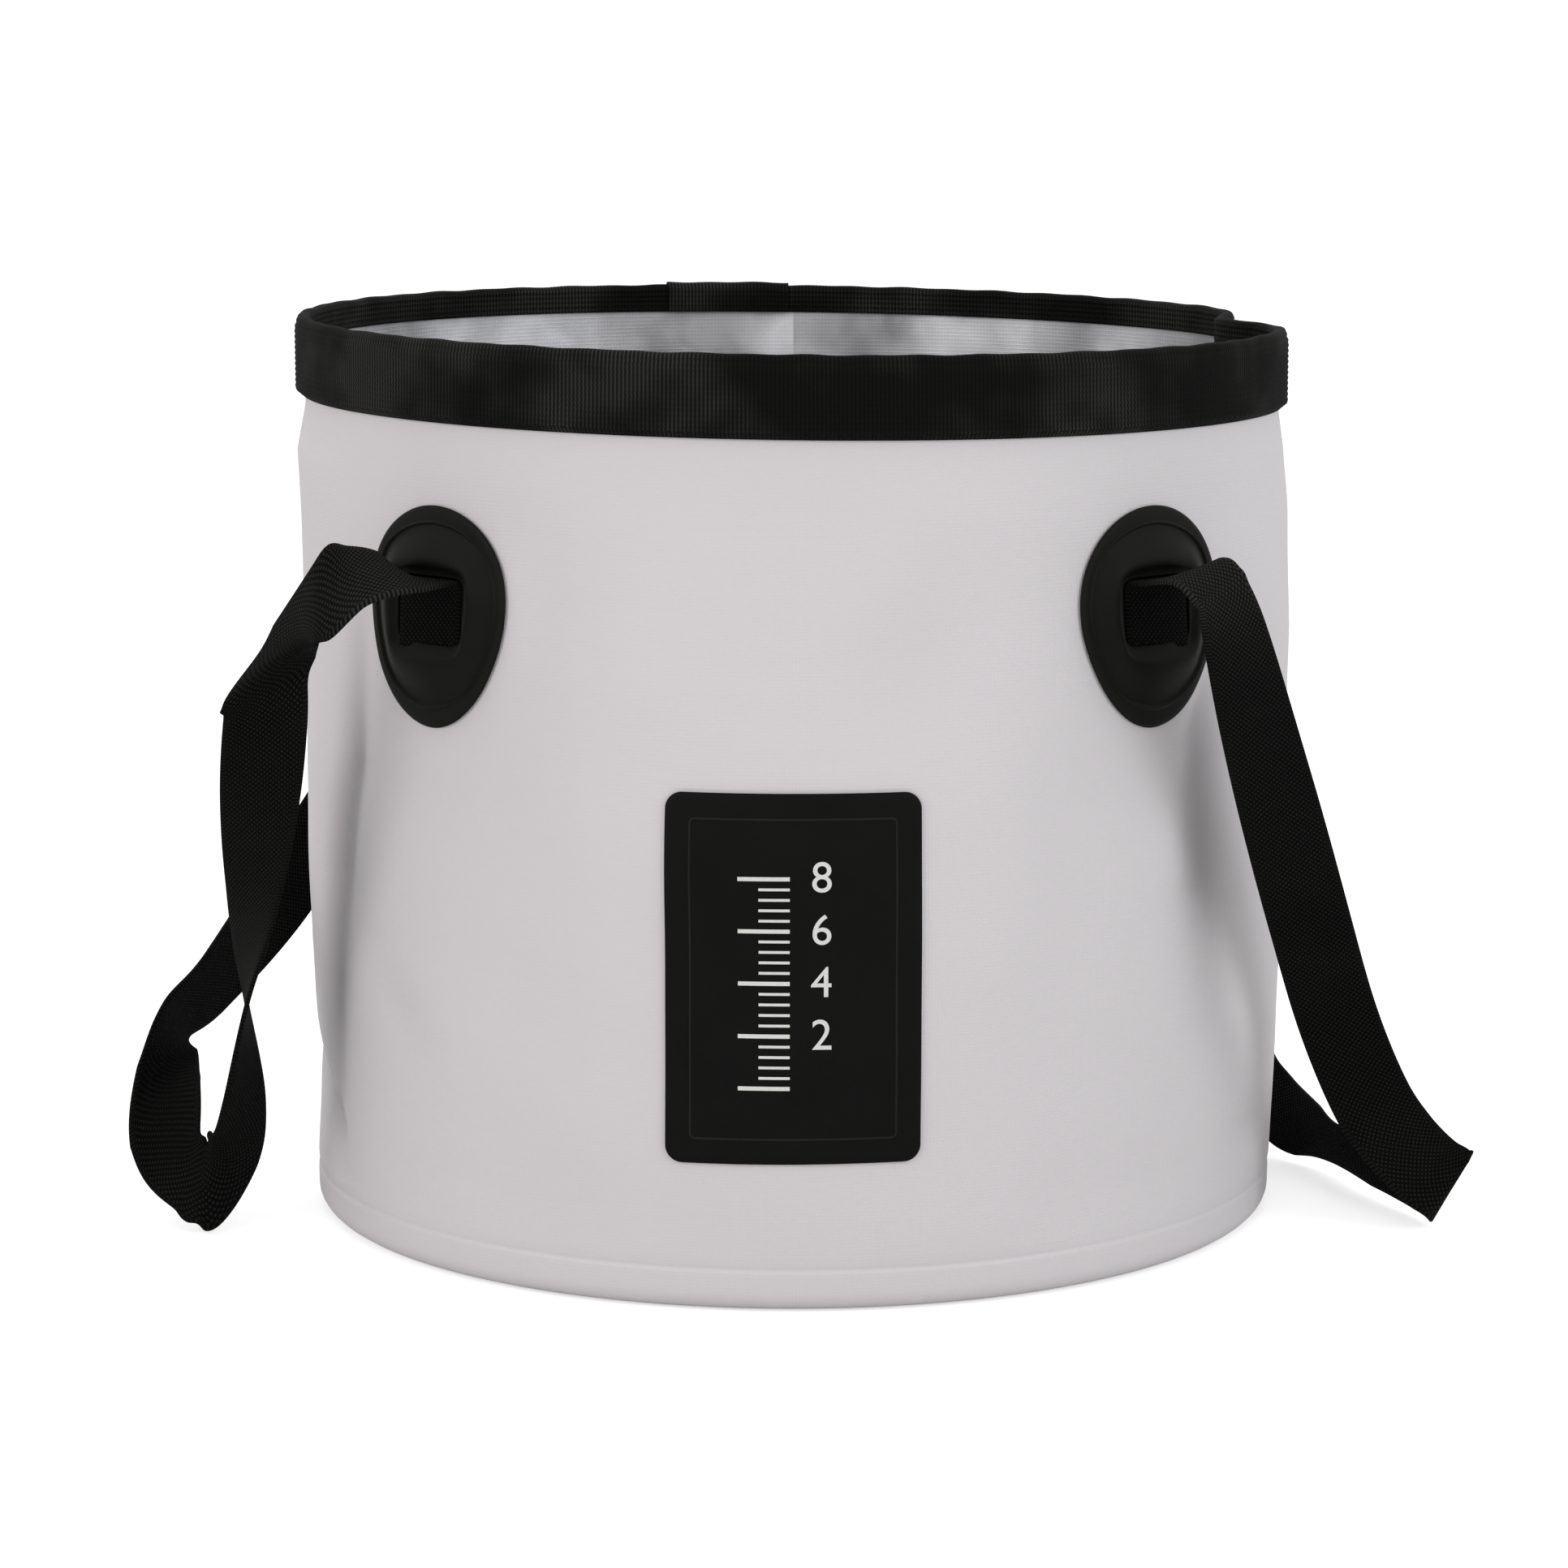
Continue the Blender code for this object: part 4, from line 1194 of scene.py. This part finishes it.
def make_print():
    """The print: a plain scale of ticks with plain numbers."""
    shape = bmesh.new()
    for number in range(1, SCALE_NUMBERS + 1):
        place = (NUMBER_EDGE, scale_height(number, SCALE_NUMBERS), 0.0)
        mesh = flat_text(str(number * NUMBER_STEP), place)
        shape.from_mesh(mesh)
        bpy.data.meshes.remove(mesh)
    for tick in range(SCALE_TICKS + 1):
        length, height = SHORT_TICK if tick % (SCALE_TICKS // SCALE_NUMBERS) else LONG_TICK
        made = bmesh.ops.create_cube(shape, size=1.0)["verts"]
        bmesh.ops.scale(shape, vec=(length, height, 2.0 * PRINT_HALF_DEPTH), verts=made)
        place = (TICK_EDGE - length / 2, scale_height(tick, SCALE_TICKS), 0.0)
        bmesh.ops.translate(shape, vec=place, verts=made)
        edges = {edge for vertex in made for edge in vertex.link_edges}
        level = [edge for edge in edges if abs(edge.verts[0].co.x - edge.verts[1].co.x) > length / 2]
        bmesh.ops.subdivide_edges(shape, edges=level, cuts=TICK_CUTS)
    bmesh.ops.remove_doubles(shape, verts=shape.verts, dist=PRINT_MERGE)
    bmesh.ops.triangulate(shape, faces=shape.faces)
    bmesh.ops.recalc_face_normals(shape, faces=shape.faces)
    mesh = bpy.data.meshes.new("label_scale")
    shape.to_mesh(mesh)
    shape.free()
    flat = np.array([vertex.co for vertex in mesh.vertices], float)
    mesh.vertices.foreach_set("co", on_label(flat).astype(np.float32).ravel())
    mesh.update()
    return follow_fold(add_object("label_scale", mesh, ["label_ink"]))


def make_patch(corner, azimuth):
    """A moulded patch with a square window for the strap."""
    size = sizes()
    brim = SEAT + size.patch_wall
    levels = {"wall": 0.0, "brim": brim, "crown": brim + size.patch_dome}
    share = np.array([ring[0] for ring in PATCH_RINGS])[:, None]
    offset = np.array([levels[level] + height for _, level, height in PATCH_RINGS])[:, None]
    angle = -2.0 * math.pi * np.linspace(0.0, 1.0, PATCH_COLUMNS + 1)[None, :]
    cosine, sine = np.cos(angle), np.sin(angle)
    half_width = size.strap_width / 2 + WINDOW_SIDE_ROOM
    square = np.abs(cosine) ** WINDOW_SQUARENESS + np.abs(sine) ** WINDOW_SQUARENESS
    square = square ** (1.0 / WINDOW_SQUARENESS)
    window_x, window_y = half_width * cosine / square, WINDOW_HALF_HEIGHT * sine / square
    taper = 1.0 + PATCH_TAPER_SHARE * sine
    lean = PATCH_LEAN * outer_side(azimuth)
    outline_x = (size.patch_width / 2 + PATCH_LEAN) * cosine * taper + lean
    outline_y = size.patch_height / 2 * sine
    side = window_x + (outline_x - window_x) * share
    window_rise = WINDOW_CENTRE - PATCH_CENTRE
    rise = window_y + window_rise * (1.0 - share) + (outline_y - window_y) * share
    points = wall_point(azimuth + arc_degrees(side), PATCH_CENTRE + rise, offset)
    name = "patch_" + corner
    made = grid_object(name + "_moulding", points, chart_of(side, rise), ["patch_rubber"], closed=True)
    thicken(made, size.patch_wall * PATCH_SKIN_SHARE)
    return stand_for(made, name, "strap_mounts")


def make_pad(corner, azimuth):
    """The fabric pad in a patch's window, to which the strap is sewn."""
    size = sizes()
    half = size.strap_width / 2 + WINDOW_SIDE_ROOM - PAD_SIDE_ROOM
    side = np.linspace(-half, half, PAD_STATIONS)[None, :]
    low = WINDOW_CENTRE - WINDOW_HALF_HEIGHT - TAIL_HOLD
    heights = np.linspace(low, WINDOW_CENTRE + WINDOW_HALF_HEIGHT, PAD_STATIONS)[:, None]
    points = wall_point(azimuth + arc_degrees(side), heights, SEAT + size.fabric)
    made = grid_object("window_pad_" + corner, points, chart_of(side, heights), ["strap_weave"])
    thicken(made, size.fabric)
    return stand_for(made, "anchor_pad_" + corner, "strap_mounts")


def strap_exit():
    """The height of the strap's middle where it leaves the window."""
    return WINDOW_CENTRE + WINDOW_HALF_HEIGHT - SEAT - sizes().strap_thickness / 2


def route_point(row):
    """A row of a route as a place and a direction across the strap."""
    azimuth, out_share, up_share, outwards, sideways, upwards = row
    out_way, around_way = ways(np.float64(azimuth))
    height = up_share * strap_exit()
    centre = out_way * (lens_radius(azimuth, height) + out_share * sizes().strap_width)
    centre[2] = height
    across = out_way * outwards + around_way * sideways + np.array([0.0, 0.0, upwards])
    return centre, across / np.linalg.norm(across)


def tail_points(azimuth, side):
    """The strap's sewn end, its bend out of the window, and the root outside it."""
    size = sizes()
    exit_height = strap_exit()
    out_way, around_way = (way[0] for way in wall_ways(np.array([azimuth]), np.array([exit_height])))
    low = WINDOW_CENTRE - WINDOW_HALF_HEIGHT - TAIL_HOLD
    high = exit_height - TAIL_BEND
    offset = SEAT + size.fabric + GAP + size.strap_thickness / 2
    points = [wall_point(azimuth, height, offset)[0] for height in np.linspace(low, high, TAIL_STATIONS)]
    foot = points[-1]
    for turn in np.radians(np.linspace(0.0, 90.0, TAIL_BEND_STEPS + 1)[1:]):
        bend = out_way * (1.0 - math.cos(turn)) + np.array([0.0, 0.0, math.sin(turn)])
        points.append(foot + bend * TAIL_BEND)
    points.append(wall_point(azimuth, exit_height, STRAP_ROOT)[0])
    return [(point, around_way * side) for point in points]


def spline(first, second, third, fourth, share):
    """A point on the smooth curve between the second and third of four places."""
    square, cube = share * share, share * share * share
    return 0.5 * (
        2.0 * second
        + (third - first) * share
        + (2.0 * first - 5.0 * second + 4.0 * third - fourth) * square
        + (3.0 * second - first - 3.0 * third + fourth) * cube
    )


class Strap:
    """One length of webbing, from its sewn front end to its sewn back end."""

    def __init__(self, side, rows):
        turn = 1.0 if side == "left" else -1.0
        front = tail_points(CORNERS["front_" + side], turn)
        back = tail_points(CORNERS["back_" + side], -turn)
        places = [*front[-2:], *[route_point(row) for row in rows], *reversed(back[-2:])]
        points = front[:-1]
        for four in zip(places, places[1:], places[2:], places[3:]):
            for step in range(STRAP_STEPS):
                share = step / STRAP_STEPS
                centre = spline(*[place[0] for place in four], share)
                across = spline(*[place[1] for place in four], share)
                points.append((centre, across))
        points += reversed(back)
        self.side = side
        self.tail_stations = len(front) + 1
        self.centres = np.array([point[0] for point in points])
        across = np.array([point[1] for point in points])
        across /= np.linalg.norm(across, axis=1)[:, None]
        tangents = np.gradient(self.centres, axis=0)
        tangents /= np.linalg.norm(tangents, axis=1)[:, None]
        slant = np.linalg.norm(np.cross(across, tangents), axis=1)
        slant = np.maximum(slant, SLANT_LIMIT_SHARE)
        self.reach = across * (sizes().strap_width / 2 / slant)[:, None]
        steps = np.linalg.norm(np.diff(self.centres, axis=0), axis=1)
        self.lengths = np.append(0.0, np.cumsum(steps))

    def surface(self):
        """The webbing's rounded section at each station, and its chart."""
        size = sizes()
        edge = size.strap_thickness / 2
        inner = 1.0 - edge / (size.strap_width / 2)
        flat = np.linspace(-inner, inner, STRAP_COLUMNS + 1)
        still, full = np.zeros_like(flat), np.ones_like(flat)
        turn = np.linspace(math.pi / 2, -math.pi / 2, STRAP_EDGE_COLUMNS + 2)[1:-1]
        right = np.full(STRAP_EDGE_COLUMNS, inner)
        sides = np.concatenate([flat, right, flat[::-1], -right, flat[:1]])
        out = np.concatenate([still, np.cos(turn), still, -np.cos(turn), [0.0]]) * edge
        lift = np.concatenate([full, np.sin(turn), -full, -np.sin(turn), [1.0]]) * edge
        middle = self.centres[:, None] + self.reach[:, None] * sides[None, :, None]
        tangent = np.gradient(middle, axis=0)
        normal = np.cross(np.broadcast_to(self.reach[:, None], tangent.shape), tangent)
        normal /= np.linalg.norm(normal, axis=-1, keepdims=True)
        way = self.reach / np.linalg.norm(self.reach, axis=1)[:, None]
        points = middle + way[:, None] * out[None, :, None] + normal * lift[None, :, None]
        return points, chart_of(sides * size.strap_width / 2 + out, self.lengths[:, None])

    def make(self):
        """The sewn front end, the loop and the sewn back end, cut at the hinge's height."""
        points, chart = self.surface()
        whole = grid_object("strap_" + self.side, points, chart, ["strap_weave"], closed=True)
        # Painted highlight on the strap's top stretch, at a distance from each sewn end
        from_end = np.minimum(self.lengths, self.lengths[-1] - self.lengths)
        wear = np.exp(-(((from_end - HIGHLIGHT_PLACE) / HIGHLIGHT_SPREAD) ** 2))
        mark_points(whole, STRAP_HIGHLIGHT, np.repeat(wear, points.shape[1] - 1))
        level = HINGES[self.side + "_handle"]["pos_m"][2]
        free = (self.lengths[self.tail_stations], self.lengths[-1] - self.lengths[self.tail_stations])
        middle = self.lengths[-1] / 2
        shape = bmesh.new()
        shape.from_mesh(whole.data)
        charted = shape.loops.layers.uv[CHART]
        faces = [face for face in shape.faces if free[0] < middle_along(face, charted) < free[1]]
        geometry = list(faces)
        geometry += list({edge for face in faces for edge in face.edges})
        geometry += list({vertex for face in faces for vertex in face.verts})
        plane = {"plane_co": (0.0, 0.0, level), "plane_no": (0.0, 0.0, 1.0)}
        bmesh.ops.bisect_plane(shape, geom=geometry, dist=CUT_MERGE, **plane)
        kinds = [self.kind(face, charted, level, free, middle) for face in shape.faces]
        made = {kind: self.cut(shape, kinds, kind) for kind in ("front", "loop", "back")}
        shape.free()
        bpy.data.objects.remove(whole)
        return made

    def kind(self, face, charted, level, free, middle):
        along = middle_along(face, charted)
        if free[0] < along < free[1] and face.calc_center_median().z < level:
            return "loop"
        return "front" if along < middle else "back"

    def cut(self, shape, kinds, kind):
        """One of the three pieces, with its cut ends closed."""
        piece = shape.copy()
        piece.faces.ensure_lookup_table()
        others = [face for face, label in zip(piece.faces, kinds) if label != kind]
        bmesh.ops.delete(piece, geom=others, context="FACES")
        edges = [edge for edge in piece.edges if edge.is_boundary]
        filled = bmesh.ops.holes_fill(piece, edges=edges, sides=0)["faces"]
        bmesh.ops.triangulate(piece, faces=filled)
        bmesh.ops.recalc_face_normals(piece, faces=piece.faces)
        name = self.side + "_carry_loop" if kind == "loop" else "sewn_end_" + kind + "_" + self.side
        mesh = bpy.data.meshes.new(name)
        piece.to_mesh(mesh)
        piece.free()
        return settle(add_object(name, mesh, ["strap_weave"]))


def middle_along(face, charted):
    return sum(loop[charted].uv.y for loop in face.loops) / len(face.loops)


def make_straps():
    """Both straps. The sewn ends stay where they are made, and each loop moves with its handle."""
    for side, rows in (("left", LEFT_ROUTE_SHARES), ("right", RIGHT_ROUTE_SHARES)):
        made = Strap(side, rows).make()
        handle = side + "_handle"
        hinge = Vector(HINGES[handle]["pos_m"])
        for end in ("front", "back"):
            corner = end + "_" + side
            outwards = Vector(ways(np.float64(CORNERS[corner]))[0])
            fold = outwards * (hinge.x / outwards.x)
            fold.z = hinge.z
            piece = made[end]
            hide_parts("strap_end_" + corner)
            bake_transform(piece)
        loop = made["loop"]
        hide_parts(handle + "_loop")
        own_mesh(loop)
        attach(loop, handle)


class StitchRow(Nodes):
    """A Geometry Nodes tree that lays stitches along a line."""

    kinds = {
        "Line": "Geometry",
        "Pitch": "Float",
        "Length": "Float",
        "Thickness": "Float",
        "Material": "Material",
    }

    def __init__(self):
        super().__init__(bpy.data.node_groups.new("stitch_row", "GeometryNodeTree"))
        face = self.tree.interface
        face.new_socket("Geometry", in_out="OUTPUT", socket_type="NodeSocketGeometry")
        self.inputs = {}
        for name, kind in self.kinds.items():
            socket = face.new_socket(name, in_out="INPUT", socket_type="NodeSocket" + kind)
            if kind == "Float":
                socket.subtype = "DISTANCE"
            self.inputs[name] = socket.identifier
        self.build()

    def given(self, name):
        """One of the tree's inputs."""
        return self.node("NodeGroupInput", {}, {}, name)

    def build(self):
        line = self.node("GeometryNodeMeshToCurve", {}, {"Mesh": self.given("Line")})
        spacing = {"Curve": line, "Length": self.given("Pitch")}
        spaced = self.node("GeometryNodeResampleCurve", {"mode": "LENGTH"}, spacing)
        tangent = self.node("GeometryNodeInputTangent", {}, {})
        turned = self.node("FunctionNodeAlignRotationToVector", {"axis": "X"}, {"Vector": tangent})
        cuts = {"Segments": STITCH_SEGMENTS, "Rings": STITCH_RINGS, "Radius": 0.5}
        ball = self.node("GeometryNodeMeshUVSphere", {}, cuts)
        thickness = self.given("Thickness")
        extent = {"X": self.given("Length"), "Y": thickness, "Z": thickness}
        scale = self.node("ShaderNodeCombineXYZ", {}, extent)
        stitch = self.node("GeometryNodeTransform", {}, {"Geometry": ball, "Scale": scale})
        places = {"Points": spaced, "Instance": stitch, "Rotation": turned}
        placed = self.node("GeometryNodeInstanceOnPoints", {}, places)
        real = self.node("GeometryNodeRealizeInstances", {}, {"Geometry": placed})
        dye = {"Geometry": real, "Material": self.given("Material")}
        dyed = self.node("GeometryNodeSetMaterial", {}, dye)
        self.node("NodeGroupOutput", {}, {"Geometry": dyed})

    def sew(self, name, lines, body):
        """Stitches along lines of points, as one piece that rides on a body."""
        vertices, edges = [], []
        for line in lines:
            first = len(vertices)
            vertices += [tuple(point) for point in line]
            edges += [(first + step, first + step + 1) for step in range(len(line) - 1)]
        mesh = bpy.data.meshes.new(name)
        mesh.from_pydata(vertices, edges, [])
        made = add_object(name, mesh)
        modifier = made.modifiers.new("stitches", "NODES")
        modifier.node_group = self.tree
        size = sizes()
        values = {
            "Pitch": size.stitch_pitch,
            "Length": size.stitch_length,
            "Thickness": size.thread,
            "Material": finish_named("thread"),
        }
        for socket, value in values.items():
            modifier[self.inputs[socket]] = value
        settle(made)
        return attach(made, body)


def make_stitches():
    """Rows of stitches on the hem and on the straps' sewn ends."""
    size = sizes()
    row = StitchRow()
    azimuth = np.linspace(-HEM_ROW_END, HEM_ROW_END, HEM_ROW_POINTS)
    low = HEM_SEAM - size.hem_outside
    outer = wall_point(azimuth, rim_top(azimuth) + low, float(hem_face(low)))
    inner_face = -(size.fabric + GAP + size.tape)
    inner = wall_point(azimuth, rim_top(azimuth) + HEM_SEAM - size.hem_inside, inner_face)
    row.sew("hem_stitches", [outer, inner], "rim")
    lap_end = 180.0 - float(arc_degrees(HEM_LAP_END)) + LAP_ROW_INSET
    rises = np.linspace(low, -HEM_CROWN, LAP_ROW_POINTS)
    lap = wall_point(lap_end, rim_top(lap_end) + rises, hem_face(rises, size.tape + GAP))
    row.sew("hem_end_stitches", [lap], "rim")
    half = size.strap_width / 2 - STITCH_SIDE_ROOM
    offset = SEAT + size.fabric + GAP + size.strap_thickness
    heights = [WINDOW_CENTRE - WINDOW_HALF_HEIGHT + rise for rise in STITCH_RISES]
    for corner, middle in CORNERS.items():
        sides = middle + arc_degrees(np.linspace(-half, half, SHORT_ROW_POINTS))
        lines = [wall_point(sides, height, offset) for height in heights]
        row.sew("window_stitches_" + corner, lines, "strap_mounts")


def add_lamps():
    """Square lamps that face the bucket's middle."""
    target = Vector((0.0, 0.0, sizes().height / 2))
    for name, place, power, colour in LAMPS:
        lamp = bpy.data.lights.new(name, "AREA")
        lamp.shape = "SQUARE"
        lamp.size = studio().lamp_size
        lamp.energy = getattr(studio(), power)
        lamp.color = colour
        made = add_object(name, lamp)
        made.location = place
        made.rotation_euler = (target - made.location).to_track_quat("-Z", "Y").to_euler()


def add_camera():
    setup = studio()
    camera = bpy.data.cameras.new("camera")
    camera.lens = setup.camera_lens
    camera.sensor_width = FILM_WIDTH
    camera.shift_x = setup.camera_shift
    made = add_object("camera", camera)
    made.location = (0.0, -setup.camera_distance, setup.camera_height)
    made.rotation_euler = (math.pi / 2 - setup.camera_pitch, 0.0, 0.0)
    bpy.context.scene.camera = made


def add_surroundings():
    """A white surround, which the camera and reflections see brighter than it lights."""
    world = bpy.data.worlds.new("studio")
    world.use_nodes = True
    nodes = Nodes(world.node_tree)
    camera, gloss, glass = (nodes.node("ShaderNodeLightPath", {}, {}, ray) for ray in SEEING_RAYS)
    levels = {"Value": camera.most(gloss).most(glass), "To Min": studio().ambient, "To Max": 1.0}
    background = world.node_tree.nodes["Background"]
    nodes.feed(background.inputs["Color"], WHITE)
    nodes.feed(background.inputs["Strength"], nodes.node("ShaderNodeMapRange", {}, levels))
    bpy.context.scene.world = world


def add_studio_floor():
    """A pale floor that the camera sees nearly white and that keeps the bucket's shadow."""
    mesh = bpy.data.meshes.new("studio_floor")
    signs = ((-1, -1), (1, -1), (1, 1), (-1, 1))
    corners = [(x * STUDIO_FLOOR_REACH, y * STUDIO_FLOOR_REACH, -STUDIO_FLOOR_DEPTH) for x, y in signs]
    mesh.from_pydata(corners, [], [(0, 1, 2, 3)])
    paint = Paint("studio_floor")
    seen = paint.node("ShaderNodeLightPath", {}, {}, "Is Camera Ray")
    mesh.materials.append(
        paint.finish(
            Base_Color=opaque(colours().floor),
            Roughness=0.9,
            Specular_IOR_Level=0.0,
            Emission_Color=paint.blend(seen, BLACK, WHITE),
            Emission_Strength=STUDIO_FLOOR_GLOW,
        )
    )
    add_object("studio_floor", mesh)


class BUCKET_OT_studio(bpy.types.Operator):
    """Make the camera, the lamps, the white surround and the floor"""

    bl_idname = "bucket.studio"
    bl_label = "Studio"

    def execute(self, context):
        context.scene.view_settings.view_transform = "Standard"
        add_camera()
        add_surroundings()
        add_studio_floor()
        add_lamps()
        return {"FINISHED"}


class BUCKET_OT_wall(bpy.types.Operator):
    """Make the wall and its welded lap"""

    bl_idname = "bucket.wall"
    bl_label = "Wall"

    def execute(self, context):
        make_wall()
        make_wall_lap()
        return {"FINISHED"}


class BUCKET_OT_floor(bpy.types.Operator):
    """Make the floor panel"""

    bl_idname = "bucket.floor"
    bl_label = "Floor panel"

    def execute(self, context):
        make_floor()
        return {"FINISHED"}


class BUCKET_OT_hem(bpy.types.Operator):
    """Make the hem, its overlapping end and the finish of the strips in it"""

    bl_idname = "bucket.hem"
    bl_label = "Hem"

    def execute(self, context):
        make_hem()
        colour_strips()
        return {"FINISHED"}


class BUCKET_OT_label(bpy.types.Operator):
    """Make the label panel, its raised line and its print"""

    bl_idname = "bucket.label"
    bl_label = "Label"

    def execute(self, context):
        make_label()
        make_label_frame()
        make_print()
        return {"FINISHED"}


class BUCKET_OT_patches(bpy.types.Operator):
    """Make the four moulded patches and the pads in their windows"""

    bl_idname = "bucket.patches"
    bl_label = "Patches"

    def execute(self, context):
        for corner, azimuth in CORNERS.items():
            make_patch(corner, azimuth)
            make_pad(corner, azimuth)
        return {"FINISHED"}


class BUCKET_OT_straps(bpy.types.Operator):
    """Make the two webbing straps"""

    bl_idname = "bucket.straps"
    bl_label = "Straps"

    def execute(self, context):
        make_straps()
        return {"FINISHED"}


class BUCKET_OT_stitches(bpy.types.Operator):
    """Make the rows of stitches"""

    bl_idname = "bucket.stitches"
    bl_label = "Stitches"

    def execute(self, context):
        make_stitches()
        return {"FINISHED"}


class BUCKET_OT_declare(bpy.types.Operator):
    """A step that does nothing"""

    bl_idname = "bucket.declare"
    bl_label = "Sheets"

    def execute(self, context):
        return {"FINISHED"}


class BUCKET_PT_panel(bpy.types.Panel):
    """Sizes, colours and pieces of the bucket"""

    bl_idname = "BUCKET_PT_panel"
    bl_label = "Camp Bucket"
    bl_space_type = "VIEW_3D"
    bl_region_type = "UI"
    bl_category = "Camp Bucket"

    def draw(self, context):
        for group in (sizes(), colours(), studio()):
            column = self.layout.column(align=True)
            for name in group.__annotations__:
                column.prop(group, name)
        column = self.layout.column(align=True)
        for operator in OPERATORS:
            column.operator(operator.bl_idname)


OPERATORS = (
    BUCKET_OT_studio,
    BUCKET_OT_wall,
    BUCKET_OT_floor,
    BUCKET_OT_hem,
    BUCKET_OT_label,
    BUCKET_OT_patches,
    BUCKET_OT_straps,
    BUCKET_OT_stitches,
    BUCKET_OT_declare,
)
GROUPS = {"bucket_sizes": BucketSizes, "bucket_colours": BucketColours, "bucket_studio": BucketStudio}


def register():
    for group in GROUPS.values():
        bpy.utils.register_class(group)
    for name, group in GROUPS.items():
        setattr(bpy.types.Scene, name, bpy.props.PointerProperty(type=group))
    for item in (*OPERATORS, BUCKET_PT_panel):
        bpy.utils.register_class(item)


def unregister():
    for item in reversed((*OPERATORS, BUCKET_PT_panel)):
        bpy.utils.unregister_class(item)
    for name in GROUPS:
        delattr(bpy.types.Scene, name)
    for group in reversed(list(GROUPS.values())):
        bpy.utils.unregister_class(group)


def main():
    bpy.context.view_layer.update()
    register()
    bpy.ops.bucket.studio()
    bpy.ops.bucket.wall()
    bpy.ops.bucket.floor()
    bpy.ops.bucket.hem()
    bpy.ops.bucket.label()
    bpy.ops.bucket.patches()
    bpy.ops.bucket.straps()
    bpy.ops.bucket.stitches()
    bpy.ops.bucket.declare()


if __name__ == "__main__":
    main()
